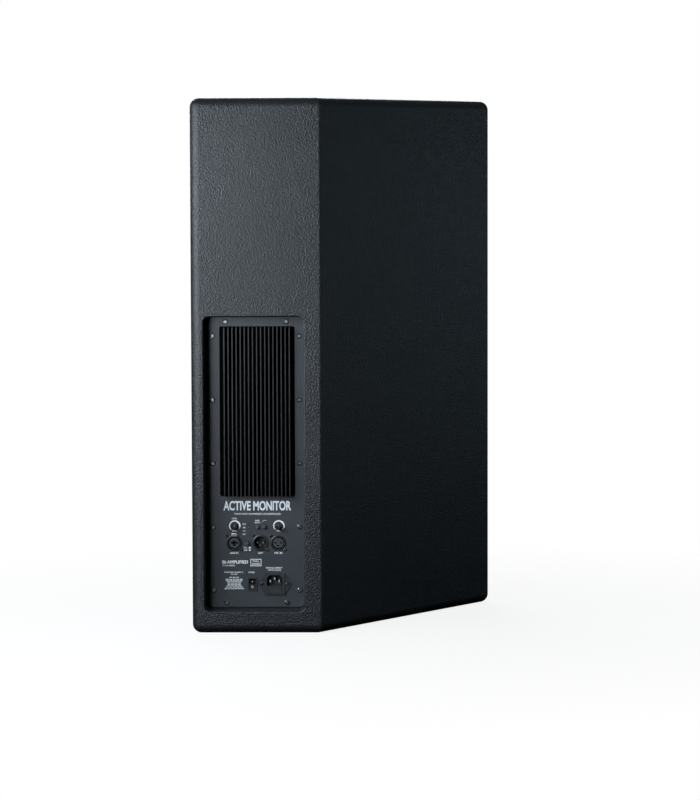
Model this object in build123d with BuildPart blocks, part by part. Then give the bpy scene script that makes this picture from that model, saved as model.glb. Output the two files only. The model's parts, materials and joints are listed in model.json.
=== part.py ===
"""Powered stage monitor: a plywood wedge that stands upright or lies on its slanted side.

Frame: +Z up, origin at the centre of the base. The grille faces -Y and the amplifier panel faces +Y.
Seen from behind, the straight side is on the left (+X) and the slanted side on the right (-X).
All sizes are in millimetres.
"""

import os
from math import asin, atan2, cos, pi, radians, sin, tan

from build123d import *

os.makedirs("parts", exist_ok=True)

# ---------------------------------------------------------------- driving dimensions
HEIGHT = 830.0
WIDTH = 468.0  # across the front, over the roundings
DEPTH = 385.0
REAR_WIDTH = 202.0  # the narrow rear face
WALL = 15.0  # plywood of the cabinet
EDGE_R = 14.0  # rounding of every outer edge but one
REAR_CORNER_R = 6.0  # tighter rounding where the rear face meets the slanted side

BAFFLE_SETBACK = 34.0  # front of the cabinet to the front of the baffle
BAFFLE_THICK = 18.0
BATTEN = 14.0  # width of the strips that carry the grille
BATTEN_DEEP = 15.0

GRILLE_SETBACK = 3.0
GRILLE_THICK = 1.2
GRILLE_RETURN = 16.0  # depth of the grille's bent edge
GRILLE_GAP = 1.5
FOAM_THICK = 6.0

DRIVER_X = 18.0  # both drivers and the ports share this centre line
WOOFER_Z = 226.0
WOOFER_R = 194.0  # 15 inch frame
HORN_Z = 673.0
PORT_Z = 480.0
PORT_SPREAD = 62.0
PORT_R = 42.0

RECESS_W = 155.0
RECESS_H = 459.0
RECESS_DEEP = 42.0
RECESS_MARGIN = 19.5  # straight side to the recess
RECESS_FOOT = 34.0  # base to the recess
RECESS_R = 9.0
PANEL_W = 150.0
PANEL_H = 454.0
PANEL_T = 3.0
PANEL_SHIFT = 1.8  # the panel sits this far off the recess's middle, towards the slanted side
FRAME_WALL = 8.0
FRAME_LEDGE = 13.5

FIN_COUNT = 17
FIN_PITCH = 6.35
FIN_T = 1.8
FIN_PROUD = 14.0  # fins stand this far out of the panel
SINK_W = 117.5
SINK_H = 266.0
SINK_U = 2.0
SINK_V = 79.8

SOCKET_R = 18.0  # bore for a 35 mm stand pole
SOCKET_DEEP = 82.0
SOCKET_X = 25.0
SOCKET_Y = 15.0

HANDLE_Y = -25.0
HANDLE_Z = 480.0
HANDLE_LONG = 150.0
HANDLE_TALL = 90.0
HANDLE_DEEP = 58.0

# ---------------------------------------------------------------- places worked out from them
X_STRAIGHT = WIDTH / 2
Y_FRONT = -DEPTH / 2
Y_REAR = DEPTH / 2
X_SLANT = -WIDTH / 2  # the sharp corner before rounding: it lies outside the width
for _ in range(20):
    SLANT = atan2(X_STRAIGHT - REAR_WIDTH - X_SLANT, DEPTH)
    X_SLANT = -WIDTH / 2 - EDGE_R * (1 / tan((pi / 2 - SLANT) / 2) - 1)
Y_BAFFLE = Y_FRONT + BAFFLE_SETBACK
Y_BAFFLE_BACK = Y_BAFFLE + BAFFLE_THICK
Y_PANEL = Y_REAR - RECESS_DEEP  # outer face of the amplifier panel
Y_PANEL_BACK = Y_PANEL - PANEL_T
X_INNER = X_STRAIGHT - WALL  # inner face of the straight side
Y_INNER = Y_REAR - WALL  # inner face of the rear panel
Z_TOP = HEIGHT - WALL
RECESS_X = X_STRAIGHT - RECESS_MARGIN - RECESS_W / 2
PANEL_X = RECESS_X - PANEL_SHIFT
PANEL_Z = RECESS_FOOT + RECESS_H / 2
CLEAR = 0.05  # a fit between two fixed pieces


def slant_inner_x(y, inset=0.0):
    """X of the slanted side's inner face at depth y, or of a line parallel to it, inset further in."""
    return X_SLANT + (y - Y_FRONT) * tan(SLANT) + (WALL + inset) / cos(SLANT)


def facing_front(y):
    """Sketch plane at depth y: local x is +X, local y is +Z, and extruding goes towards the front."""
    return Plane(origin=(0, y, 0), x_dir=(1, 0, 0), z_dir=(0, -1, 0))


def on_panel(u, v):
    """A point of the amplifier panel: u to the right as seen from behind, v up from its centre."""
    return (PANEL_X - u, PANEL_Z + v)


def turning(x, z):
    """Plane for a profile (radius, depth) that is turned about the Y axis through x, z."""
    return Plane(origin=(x, 0, z), x_dir=(1, 0, 0), z_dir=(0, 0, 1))


def y_axis(x, z):
    return Axis((x, 0, z), (0, 1, 0))


def save(builder, name):
    builder.part.label = name
    export_step(builder.part, f"parts/{name}.step")


def dome_middle(rim_r, rise):
    """Half-way point of a spherical dome's arc, as a radius and a drop from the apex."""
    ball_r = (rim_r**2 + rise**2) / (2 * rise)
    half = asin(rim_r / ball_r) / 2
    return ball_r * sin(half), ball_r * (1 - cos(half))


def turned(x, z, outline):
    """A closed profile of (radius, depth) points turned about the Y axis through x, z."""
    with BuildPart() as piece:
        with BuildSketch(turning(x, z)):
            with BuildLine():
                Polyline(*outline, close=True)
            make_face()
        revolve(axis=y_axis(x, z))
    return piece


# ---------------------------------------------------------------- cabinet
outer_corners = [
    (X_SLANT, Y_FRONT),
    (X_STRAIGHT, Y_FRONT),
    (X_STRAIGHT, Y_REAR),
    (X_STRAIGHT - REAR_WIDTH, Y_REAR),
]
past_front = Y_FRONT - 10
cavity_corners = [
    (slant_inner_x(past_front), past_front),
    (X_INNER, past_front),
    (X_INNER, Y_INNER),
    (slant_inner_x(Y_INNER), Y_INNER),
]
slant_plane = Plane(
    origin=(slant_inner_x(0), 0, 0),
    x_dir=(sin(SLANT), cos(SLANT), 0),
    z_dir=(-cos(SLANT), sin(SLANT), 0),
)
straight_plane = Plane(origin=(X_INNER, 0, 0), x_dir=(0, 1, 0), z_dir=(1, 0, 0))

with BuildPart() as outer:
    with BuildSketch(Plane.XY):
        with BuildLine():
            Polyline(*outer_corners, close=True)
        make_face()
    extrude(amount=HEIGHT)
    corner_x = X_STRAIGHT - REAR_WIDTH
    fillet([edge for edge in outer.edges() if abs(edge.center().X - corner_x) > 1], EDGE_R)
    upright = outer.edges().filter_by(Axis.Z)
    fillet([edge for edge in upright if abs(edge.center().X - corner_x) < 1], REAR_CORNER_R)

with BuildPart() as walls:
    add(outer.part)
    split(bisect_by=Plane.XY.offset(Z_TOP), keep=Keep.BOTTOM)
    split(bisect_by=Plane.XY.offset(WALL), keep=Keep.TOP)
    with BuildSketch(Plane.XY.offset(WALL)):
        with BuildLine():
            Polyline(*cavity_corners, close=True)
        make_face()
    extrude(amount=Z_TOP - WALL, mode=Mode.SUBTRACT)

with BuildPart() as top_panel:
    add(outer.part)
    split(bisect_by=Plane.XY.offset(Z_TOP), keep=Keep.TOP)
save(top_panel, "top_panel")

POLE_SCREW_RING = 40.0
POLE_FLANGE_R = 52.0
POLE_FLANGE_T = 2.5
POLE_TUBE_WALL = 3.0
with BuildPart() as bottom_panel:
    add(outer.part)
    split(bisect_by=Plane.XY.offset(WALL), keep=Keep.BOTTOM)
    with BuildSketch(Plane.XY):
        with Locations((SOCKET_X, SOCKET_Y)):
            Circle(POLE_FLANGE_R + 0.3)
    extrude(amount=POLE_FLANGE_T, mode=Mode.SUBTRACT)
    with BuildSketch(Plane.XY):
        with Locations((SOCKET_X, SOCKET_Y)):
            Circle(SOCKET_R + POLE_TUBE_WALL + 0.3)
            with PolarLocations(POLE_SCREW_RING, 4, start_angle=45):
                Circle(1.8 + CLEAR)
    extrude(amount=WALL, mode=Mode.SUBTRACT)
save(bottom_panel, "bottom_panel")

HANDLE_FLANGE = 20.0  # rim of the handle dish round its mouth
HANDLE_FLANGE_T = 2.3
HANDLE_SHELL = 2.5
handle_plane = Plane(origin=(X_STRAIGHT, HANDLE_Y, HANDLE_Z), x_dir=(0, 1, 0), z_dir=(1, 0, 0))
handle_screw_spacing = (HANDLE_LONG + HANDLE_FLANGE, HANDLE_TALL + HANDLE_FLANGE)
with BuildPart() as straight_side:
    add(walls.part)
    split(bisect_by=straight_plane, keep=Keep.TOP)
    with BuildSketch(handle_plane):
        RectangleRounded(HANDLE_LONG + 2 * HANDLE_FLANGE + 0.6, HANDLE_TALL + 2 * HANDLE_FLANGE + 0.6, 18.3)
    extrude(amount=-HANDLE_FLANGE_T - 0.2, mode=Mode.SUBTRACT)
    with BuildSketch(handle_plane):
        RectangleRounded(HANDLE_LONG + 2 * HANDLE_SHELL + 0.6, HANDLE_TALL + 2 * HANDLE_SHELL + 0.6, 17.8)
        with GridLocations(*handle_screw_spacing, 2, 2):
            Circle(1.8 + CLEAR)
    extrude(amount=-WALL, mode=Mode.SUBTRACT)
save(straight_side, "straight_side")

with BuildPart() as slanted_side:
    add(walls.part)
    split(bisect_by=slant_plane, keep=Keep.TOP)
save(slanted_side, "slanted_side")

with BuildPart() as rear_panel:
    add(walls.part)
    split(bisect_by=straight_plane, keep=Keep.BOTTOM)
    split(bisect_by=slant_plane, keep=Keep.BOTTOM)
    with BuildSketch(facing_front(Y_REAR)):
        with Locations((RECESS_X, PANEL_Z)):
            RectangleRounded(RECESS_W, RECESS_H, RECESS_R)
    extrude(amount=WALL, mode=Mode.SUBTRACT)
    mouth = rear_panel.faces().filter_by(Axis.Y).sort_by(Axis.Y)[-1].inner_wires()[0]
    fillet(mouth.edges(), 2.0)
save(rear_panel, "rear_panel")

# The liner carries the amplifier panel on a ledge behind the rear face.
y_ledge = Y_PANEL_BACK
LEDGE_T = 11.0
SIDE_SCREW_U = 67.6
SIDE_SCREW_V = -1.5
SIDE_SCREW_PITCH = 99.6
END_SCREW_U = 47.5
END_SCREW_V = 220.0
side_screw_rows = [SIDE_SCREW_V + row * SIDE_SCREW_PITCH for row in range(-2, 3)]
panel_screw_spots = []
for side in (-1, 1):
    panel_screw_spots += [(side * SIDE_SCREW_U, v) for v in side_screw_rows]
    panel_screw_spots += [(side * END_SCREW_U, end * END_SCREW_V) for end in (-1, 1)]
panel_screw_places = [on_panel(u, v) for u, v in panel_screw_spots]

with BuildPart() as amp_recess_frame:
    liner_left = X_INNER - (RECESS_X + RECESS_W / 2)
    with BuildSketch(facing_front(Y_INNER)):
        with Locations((RECESS_X + (liner_left - FRAME_WALL) / 2, PANEL_Z)):
            Rectangle(RECESS_W + liner_left + FRAME_WALL, RECESS_H + 2 * FRAME_WALL)
        with Locations((RECESS_X, PANEL_Z)):
            RectangleRounded(RECESS_W, RECESS_H, RECESS_R, mode=Mode.SUBTRACT)
    extrude(amount=Y_INNER - y_ledge)
    with BuildSketch(facing_front(y_ledge)):
        with Locations((RECESS_X + (liner_left - FRAME_WALL) / 2, PANEL_Z)):
            Rectangle(RECESS_W + liner_left + FRAME_WALL, RECESS_H + 2 * FRAME_WALL)
        with Locations((PANEL_X, PANEL_Z)):
            Rectangle(RECESS_W - 2 * FRAME_LEDGE, RECESS_H - 2 * FRAME_LEDGE, mode=Mode.SUBTRACT)
        with Locations(*panel_screw_places):
            Circle(1.7 + CLEAR, mode=Mode.SUBTRACT)
    extrude(amount=LEDGE_T)
save(amp_recess_frame, "amp_recess_frame")

baffle_corners = [
    (slant_inner_x(Y_BAFFLE), Y_BAFFLE),
    (X_INNER, Y_BAFFLE),
    (X_INNER, Y_BAFFLE_BACK),
    (slant_inner_x(Y_BAFFLE_BACK), Y_BAFFLE_BACK),
]
HORN_FLANGE = (310.0, 248.0)
HORN_MOUTH = (286.0, 222.0)
HORN_SHELL = 3.0
WOOFER_CUT_R = 176.5
WOOFER_BOLT_RING = 186.0
WOOFER_BOLTS = 8
HORN_BOLT_GRID = (298.0, 236.0)
port_places = [(DRIVER_X + side * PORT_SPREAD, PORT_Z) for side in (-1, 1)]
with BuildPart() as baffle:
    with BuildSketch(Plane.XY.offset(WALL)):
        with BuildLine():
            Polyline(*baffle_corners, close=True)
        make_face()
    extrude(amount=Z_TOP - WALL)
    with BuildSketch(facing_front(Y_BAFFLE_BACK)):
        with Locations((DRIVER_X, WOOFER_Z)):
            Circle(WOOFER_CUT_R)
            with PolarLocations(WOOFER_BOLT_RING, WOOFER_BOLTS, start_angle=22.5):
                Circle(2.5 + CLEAR)
        with Locations((DRIVER_X, HORN_Z)):
            RectangleRounded(HORN_MOUTH[0] + 10, HORN_MOUTH[1] + 10, 25)
            with GridLocations(*HORN_BOLT_GRID, 2, 2):
                Circle(2.5 + CLEAR)
        with Locations(*port_places):
            Circle(PORT_R + 3)
    extrude(amount=BAFFLE_THICK, mode=Mode.SUBTRACT)
save(baffle, "baffle")

BRACE_Z = 540.0
BRACE_T = 12.0
with BuildPart() as window_brace:
    with BuildSketch(Plane.XY.offset(BRACE_Z)):
        with BuildLine():
            Polyline(
                (slant_inner_x(Y_BAFFLE_BACK), Y_BAFFLE_BACK),
                (X_INNER, Y_BAFFLE_BACK),
                (X_INNER, Y_INNER),
                (slant_inner_x(Y_INNER), Y_INNER),
                close=True,
            )
        make_face()
        offset(amount=-38, mode=Mode.SUBTRACT)
    extrude(amount=BRACE_T)
save(window_brace, "window_brace")

# ---------------------------------------------------------------- grille
y_grille = Y_FRONT + GRILLE_SETBACK
y_grille_back = y_grille + GRILLE_RETURN


def grille_outline(front, back, inset):
    """Plan of the space between the cabinet's inner faces, drawn in by inset, from depth front to back."""
    return [
        (slant_inner_x(front, inset), front),
        (X_INNER - inset, front),
        (X_INNER - inset, back),
        (slant_inner_x(back, inset), back),
    ]


grille_screw_places = [(DRIVER_X + step * 170, z) for step in (-1, 0, 1) for z in (WALL + 8, Z_TOP - 8)]

with BuildPart() as grille:
    with BuildSketch(Plane.XY.offset(WALL + GRILLE_GAP)):
        with BuildLine():
            Polyline(*grille_outline(y_grille, y_grille_back, GRILLE_GAP), close=True)
        make_face()
    extrude(amount=Z_TOP - WALL - 2 * GRILLE_GAP)
    inner_edge = GRILLE_GAP + GRILLE_THICK
    with BuildSketch(Plane.XY.offset(WALL + inner_edge)):
        with BuildLine():
            Polyline(*grille_outline(y_grille + GRILLE_THICK, y_grille_back + 1, inner_edge), close=True)
        make_face()
    extrude(amount=Z_TOP - WALL - 2 * inner_edge, mode=Mode.SUBTRACT)
    with BuildSketch(facing_front(y_grille + GRILLE_THICK)):
        with Locations(*grille_screw_places):
            Circle(2.2)
    extrude(amount=GRILLE_THICK, mode=Mode.SUBTRACT)
save(grille, "grille")

with BuildPart() as grille_foam:
    foam_front = y_grille + GRILLE_THICK + 0.2
    foam_inset = GRILLE_GAP + GRILLE_THICK + 0.5
    with BuildSketch(Plane.XY.offset(WALL + foam_inset)):
        with BuildLine():
            Polyline(*grille_outline(foam_front, foam_front + FOAM_THICK, foam_inset), close=True)
        make_face()
    extrude(amount=Z_TOP - WALL - 2 * foam_inset)
    with BuildSketch(facing_front(foam_front + FOAM_THICK)):
        with Locations(*grille_screw_places):
            Circle(2.4)
    extrude(amount=FOAM_THICK, mode=Mode.SUBTRACT)
save(grille_foam, "grille_foam")

with BuildPart() as grille_battens:
    with BuildSketch(facing_front(Y_BAFFLE)):
        for z in (WALL + BATTEN / 2, Z_TOP - BATTEN / 2):
            batten_left = slant_inner_x(Y_BAFFLE) + 4
            with Locations(((batten_left + X_INNER) / 2, z)):
                Rectangle(X_INNER - batten_left, BATTEN)
        with Locations(*grille_screw_places):
            Circle(1.8 + CLEAR, mode=Mode.SUBTRACT)
    extrude(amount=BATTEN_DEEP)
save(grille_battens, "grille_battens")


def screws(places, y_seat, head_r, head_t, shank_r, length, outward=-1):
    """Pan-head cross screws along Y at (x, z) places. The head stands out on the outward side of y_seat."""
    with BuildPart() as group:
        for x, z in places:
            outline = [
                (0, y_seat - outward * length),
                (shank_r, y_seat - outward * length),
                (shank_r, y_seat),
                (head_r, y_seat),
                (head_r, y_seat + outward * head_t * 0.45),
                (head_r * 0.62, y_seat + outward * head_t),
                (0, y_seat + outward * head_t),
            ]
            with BuildSketch(turning(x, z)):
                with BuildLine():
                    Polyline(*outline, close=True)
                make_face()
            revolve(axis=y_axis(x, z))
        recess_floor = y_seat + outward * head_t * 0.35
        with BuildSketch(facing_front(recess_floor)):
            with Locations(*places):
                Rectangle(head_r * 1.1, head_r * 0.26)
                Rectangle(head_r * 0.26, head_r * 1.1)
        extrude(amount=-outward * head_t, mode=Mode.SUBTRACT)
    return group


save(screws(grille_screw_places, y_grille, 3.6, 1.4, 1.8, 24), "grille_screws")

# ---------------------------------------------------------------- woofer
WX, WZ = DRIVER_X, WOOFER_Z
FLANGE_T = 8.0
y_flange = Y_BAFFLE - FLANGE_T
SPOKES = 6
woofer_basket_profile = [
    (168, y_flange),
    (WOOFER_R, y_flange),
    (WOOFER_R, Y_BAFFLE),
    (175, Y_BAFFLE),
    (171, Y_BAFFLE + 18),
    (86, Y_BAFFLE + 98),
    (86, Y_BAFFLE + 108),
    (54, Y_BAFFLE + 108),
    (54, Y_BAFFLE + 101),
    (78, Y_BAFFLE + 101),
    (80, Y_BAFFLE + 96),
    (163, Y_BAFFLE + 17),
    (168, Y_BAFFLE + 4),
]
with BuildPart() as woofer_basket:
    with BuildSketch(turning(WX, WZ)):
        with BuildLine():
            Polyline(*woofer_basket_profile, close=True)
        make_face()
    revolve(axis=y_axis(WX, WZ))
    with BuildSketch(facing_front(Y_BAFFLE + 110)):
        with Locations((WX, WZ)):
            with PolarLocations(0, SPOKES):
                with BuildLine():
                    half = 180 / SPOKES - 6
                    half_in = 180 / SPOKES - 10
                    rim = [(157 * cos(radians(a)), 157 * sin(radians(a))) for a in (-half, 0, half)]
                    hub = [(97 * cos(radians(a)), 97 * sin(radians(a))) for a in (half_in, 0, -half_in)]
                    ThreePointArc(*rim)
                    Line(rim[2], hub[0])
                    ThreePointArc(*hub)
                    Line(hub[2], rim[0])
                make_face()
    extrude(amount=100, mode=Mode.SUBTRACT)
    with BuildSketch(facing_front(Y_BAFFLE)):
        with Locations((WX, WZ)):
            with PolarLocations(WOOFER_BOLT_RING, WOOFER_BOLTS, start_angle=22.5):
                Circle(2.7)
    extrude(amount=FLANGE_T, mode=Mode.SUBTRACT)
save(woofer_basket, "woofer_basket")

y_gap = Y_BAFFLE + 108  # front of the motor's top plate
POLE_R = 49.3
save(
    turned(WX, WZ, [(51.9, y_gap), (70, y_gap), (70, y_gap + 10), (51.9, y_gap + 10)]),
    "woofer_top_plate",
)
save(
    turned(WX, WZ, [(56, y_gap + 10), (70, y_gap + 10), (70, y_gap + 22), (56, y_gap + 22)]),
    "woofer_magnet",
)
y_plate = y_gap + 22
y_vent = y_gap + 34
yoke_outline = [(15, y_gap), (POLE_R, y_gap), (POLE_R, y_plate), (72, y_plate), (72, y_vent), (15, y_vent)]
save(turned(WX, WZ, yoke_outline), "woofer_yoke")

CONE_EDGE = (151.0, y_flange + 0.7)
CONE_NECK = (50.3, Y_BAFFLE + 68)
with BuildPart() as woofer_cone:
    with BuildSketch(turning(WX, WZ)):
        with BuildLine():
            edge, neck = CONE_EDGE, CONE_NECK
            ThreePointArc(edge, (95, Y_BAFFLE + 27.5), neck)
            Line(neck, (neck[0], neck[1] + 2))
            ThreePointArc((neck[0], neck[1] + 2), (95, Y_BAFFLE + 29.3), (edge[0], edge[1] + 1.6))
            Line((edge[0], edge[1] + 1.6), edge)
        make_face()
    revolve(axis=y_axis(WX, WZ))
save(woofer_cone, "woofer_cone")

CAP_R, CAP_RISE, CAP_T = 56.0, 16.0, 1.0
cap_rim_y = Y_BAFFLE + 61.5
with BuildPart() as dust_cap:
    with BuildSketch(turning(WX, WZ)):
        with BuildLine():
            mid_r, mid_drop = dome_middle(CAP_R, CAP_RISE)
            in_r, in_drop = dome_middle(CAP_R - CAP_T, CAP_RISE)
            apex = cap_rim_y - CAP_RISE
            ThreePointArc((0, apex), (mid_r, apex + mid_drop), (CAP_R, cap_rim_y))
            Line((CAP_R, cap_rim_y), (CAP_R - CAP_T, cap_rim_y + CAP_T))
            inner_apex = apex + CAP_T
            ThreePointArc((CAP_R - CAP_T, cap_rim_y + CAP_T), (in_r, inner_apex + in_drop), (0, inner_apex))
            Line((0, inner_apex), (0, apex))
        make_face()
    revolve(axis=y_axis(WX, WZ))
save(dust_cap, "dust_cap")

coil_back = y_gap + 12
save(
    turned(
        WX,
        WZ,
        [
            (49.8, CONE_NECK[1] + 0.2),
            (50.2, CONE_NECK[1] + 0.2),
            (50.2, coil_back - 18),
            (51.1, coil_back - 18),
            (51.1, coil_back),
            (49.8, coil_back),
        ],
    ),
    "voice_coil",
)

with BuildPart() as woofer_surround:
    with BuildSketch(turning(WX, WZ)):
        with BuildLine():
            lip = y_flange
            roll_mid = 159.0
            Polyline((145, lip - 0.4), (145, lip - 1.4), (roll_mid - 6.5, lip - 1.4))
            ThreePointArc((roll_mid - 6.5, lip - 1.4), (roll_mid, lip - 7.4), (roll_mid + 6.5, lip - 1.4))
            Polyline(
                (roll_mid + 6.5, lip - 1.4),
                (180, lip - 1.4),
                (180, lip - 0.4),
                (roll_mid + 5.5, lip - 0.4),
            )
            ThreePointArc((roll_mid + 5.5, lip - 0.4), (roll_mid, lip - 6.2), (roll_mid - 5.5, lip - 0.4))
            Line((roll_mid - 5.5, lip - 0.4), (145, lip - 0.4))
        make_face()
    revolve(axis=y_axis(WX, WZ))
save(woofer_surround, "woofer_surround")

SPIDER_RINGS = 5
with BuildPart() as woofer_spider:
    with BuildSketch(turning(WX, WZ)):
        with BuildLine():
            y_spider = Y_BAFFLE + 88
            step = (86.0 - 52.0) / (2 * SPIDER_RINGS)
            crest = [(52.0 + i * step, y_spider + 2.0 * (i % 2)) for i in range(2 * SPIDER_RINGS + 1)]
            upper = [(50.4, y_spider), *crest, (87.4, y_spider)]
            lower = [(r, y + 0.8) for r, y in reversed(upper)]
            Polyline(*upper, *lower, close=True)
        make_face()
    revolve(axis=y_axis(WX, WZ))
save(woofer_spider, "woofer_spider")

woofer_bolt_places = []
for i in range(WOOFER_BOLTS):
    turn = radians(22.5 + i * 360 / WOOFER_BOLTS)
    woofer_bolt_places.append((WX + WOOFER_BOLT_RING * cos(turn), WZ + WOOFER_BOLT_RING * sin(turn)))
with BuildPart() as woofer_gasket:
    with BuildSketch(facing_front(y_flange)):
        with Locations((WX, WZ)):
            Circle(WOOFER_R)
            Circle(181, mode=Mode.SUBTRACT)
        with Locations(*woofer_bolt_places):
            Circle(4.8, mode=Mode.SUBTRACT)
    extrude(amount=3)
save(woofer_gasket, "woofer_gasket")

# ---------------------------------------------------------------- horn and its driver
HX, HZ = DRIVER_X, HORN_Z
HORN_FLANGE_T = FLANGE_T
HORN_LONG = 144.0
THROAT_R = 18.0
y_horn_front = Y_BAFFLE - HORN_FLANGE_T
y_throat = Y_BAFFLE + HORN_LONG
HORN_STEPS = 7


def horn_section(along, mouth, throat):
    """Size of the flare at a fraction of its depth: it narrows fast at the mouth, then gently."""
    return throat + (mouth - throat) * (1 - along) ** 1.9


def horn_loft(grow):
    """The horn's flare as a solid, grown by a wall thickness."""
    with BuildPart() as flare:
        for i in range(HORN_STEPS + 1):
            along = i / HORN_STEPS
            wide = horn_section(along, HORN_MOUTH[0], 2 * THROAT_R)
            tall = horn_section(along, HORN_MOUTH[1], 2 * THROAT_R)
            corner = min(24.0, THROAT_R - 0.5 + 10 * (1 - along))
            with BuildSketch(facing_front(y_horn_front + along * (HORN_LONG + HORN_FLANGE_T))):
                with Locations((HX, HZ)):
                    RectangleRounded(wide + 2 * grow, tall + 2 * grow, corner + grow)
        loft(ruled=True)
    return flare.part


outer_flare = horn_loft(HORN_SHELL)
inner_flare = horn_loft(0.0)
with BuildPart() as horn:
    add(outer_flare)
    with BuildSketch(facing_front(Y_BAFFLE)):
        with Locations((HX, HZ)):
            RectangleRounded(*HORN_FLANGE, 12)
            with GridLocations(*HORN_BOLT_GRID, 2, 2):
                Circle(2.7, mode=Mode.SUBTRACT)
    extrude(amount=HORN_FLANGE_T)
    with BuildSketch(facing_front(y_throat)):
        with Locations((HX, HZ)):
            Circle(46)
            with PolarLocations(38, 4, start_angle=45):
                Circle(3.0 + CLEAR, mode=Mode.SUBTRACT)
    extrude(amount=6)
    add(inner_flare, mode=Mode.SUBTRACT)
save(horn, "horn")
horn_bolt_places = [
    (HX + sx * HORN_BOLT_GRID[0] / 2, HZ + sz * HORN_BOLT_GRID[1] / 2) for sx in (-1, 1) for sz in (-1, 1)
]
save(screws(woofer_bolt_places + horn_bolt_places, y_flange, 4.6, 2.8, 2.5, 24), "driver_screws")

y_hf = y_throat
save(
    turned(
        HX,
        HZ,
        [
            (THROAT_R, y_hf),
            (50, y_hf),
            (50, y_hf + 34),
            (36, y_hf + 34),
            (36, y_hf + 20),
            (THROAT_R, y_hf + 12),
        ],
    ),
    "hf_driver_motor",
)
with BuildPart() as hf_rear_cover:
    with BuildSketch(turning(HX, HZ)):
        with BuildLine():
            Polyline(
                (0, y_hf + 38),
                (42, y_hf + 38),
                (42, y_hf + 34),
                (50, y_hf + 34),
                (50, y_hf + 48),
                (44, y_hf + 56),
                (0, y_hf + 56),
                close=True,
            )
        make_face()
    revolve(axis=y_axis(HX, HZ))
save(hf_rear_cover, "hf_rear_cover")
HF_DOME_R, HF_DOME_RISE, HF_DOME_T = 31.0, 9.0, 0.8
with BuildPart() as hf_diaphragm:
    with BuildSketch(turning(HX, HZ)):
        with BuildLine():
            seat = y_hf + 24
            mid_r, mid_drop = dome_middle(HF_DOME_R, HF_DOME_RISE)
            apex = seat + HF_DOME_RISE
            ThreePointArc((0, apex), (mid_r, apex - mid_drop), (HF_DOME_R, seat))
            Polyline(
                (HF_DOME_R, seat),
                (35, seat),
                (35, seat - HF_DOME_T),
                (HF_DOME_R, seat - HF_DOME_T),
            )
            ThreePointArc(
                (HF_DOME_R, seat - HF_DOME_T),
                (mid_r, apex - mid_drop - HF_DOME_T),
                (0, apex - HF_DOME_T),
            )
            Line((0, apex - HF_DOME_T), (0, apex))
        make_face()
    revolve(axis=y_axis(HX, HZ))
save(hf_diaphragm, "hf_diaphragm")
hf_bolt_places = []
for i in range(4):
    turn = radians(45 + i * 90)
    hf_bolt_places.append((HX + 38 * cos(turn), HZ + 38 * sin(turn)))
save(screws(hf_bolt_places, y_hf - 6, 4.8, 3.2, 3.0, 5.9), "hf_driver_bolts")

# ---------------------------------------------------------------- reflex ports
PORT_LONG = 92.0
PORT_SHELL = 2.6


def port_tube(x, z):
    """A flared tube: a rim on the baffle's face, a straight bore and a small flare at its inner end."""
    with BuildPart() as tube:
        with BuildSketch(turning(x, z)):
            with BuildLine():
                rim, bore, shell = PORT_R + 13, PORT_R, PORT_SHELL
                y_rim, y_end = Y_BAFFLE - 3.0, Y_BAFFLE + PORT_LONG
                Polyline((rim, Y_BAFFLE), (rim, y_rim + 1), (rim - 1, y_rim), (bore + 9, y_rim))
                ThreePointArc((bore + 9, y_rim), (bore + 2.6, y_rim + 2.6), (bore, y_rim + 9))
                Line((bore, y_rim + 9), (bore, y_end - 8))
                ThreePointArc((bore, y_end - 8), (bore + 2.3, y_end - 2.3), (bore + 8, y_end))
                Line((bore + 8, y_end), (bore + 8, y_end - shell))
                ThreePointArc(
                    (bore + 8, y_end - shell),
                    (bore + shell + 1.6, y_end - 4.2),
                    (bore + shell, y_end - 8),
                )
                Polyline((bore + shell, y_end - 8), (bore + shell, Y_BAFFLE), (rim, Y_BAFFLE))
            make_face()
        revolve(axis=y_axis(x, z))
    return tube


with BuildPart() as port_tubes:
    for place in port_places:
        add(port_tube(*place).part)
save(port_tubes, "port_tubes")

# ---------------------------------------------------------------- stand socket
with BuildPart() as pole_socket:
    with BuildSketch(Plane.XY):
        with Locations((SOCKET_X, SOCKET_Y)):
            Circle(POLE_FLANGE_R)
            with PolarLocations(POLE_SCREW_RING, 4, start_angle=45):
                Circle(2.0, mode=Mode.SUBTRACT)
    extrude(amount=POLE_FLANGE_T)
    with BuildSketch(Plane.XY):
        with Locations((SOCKET_X, SOCKET_Y)):
            Circle(SOCKET_R + POLE_TUBE_WALL)
    extrude(amount=SOCKET_DEEP + 3)
    with BuildSketch(Plane.XY):
        with Locations((SOCKET_X, SOCKET_Y)):
            Circle(SOCKET_R)
    extrude(amount=SOCKET_DEEP, mode=Mode.SUBTRACT)
save(pole_socket, "pole_socket")

# ---------------------------------------------------------------- recessed handle on the straight side
with BuildPart() as handle_dish:
    with BuildSketch(handle_plane.offset(-0.1)):
        RectangleRounded(HANDLE_LONG + 2 * HANDLE_FLANGE, HANDLE_TALL + 2 * HANDLE_FLANGE, 18)
        with GridLocations(*handle_screw_spacing, 2, 2):
            Circle(2.0, mode=Mode.SUBTRACT)
    extrude(amount=-HANDLE_FLANGE_T)
    with BuildSketch(handle_plane.offset(-0.1)):
        RectangleRounded(HANDLE_LONG + 2 * HANDLE_SHELL, HANDLE_TALL + 2 * HANDLE_SHELL, 17.5)
    extrude(amount=-HANDLE_DEEP - HANDLE_SHELL)
    with BuildSketch(handle_plane.offset(-0.1)):
        RectangleRounded(HANDLE_LONG, HANDLE_TALL, 15)
    extrude(amount=-HANDLE_DEEP, mode=Mode.SUBTRACT)
    dish_floor = handle_dish.faces().filter_by(Axis.X).sort_by(Axis.X)[1]
    fillet(dish_floor.edges(), 10)
save(handle_dish, "handle_dish")

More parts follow.
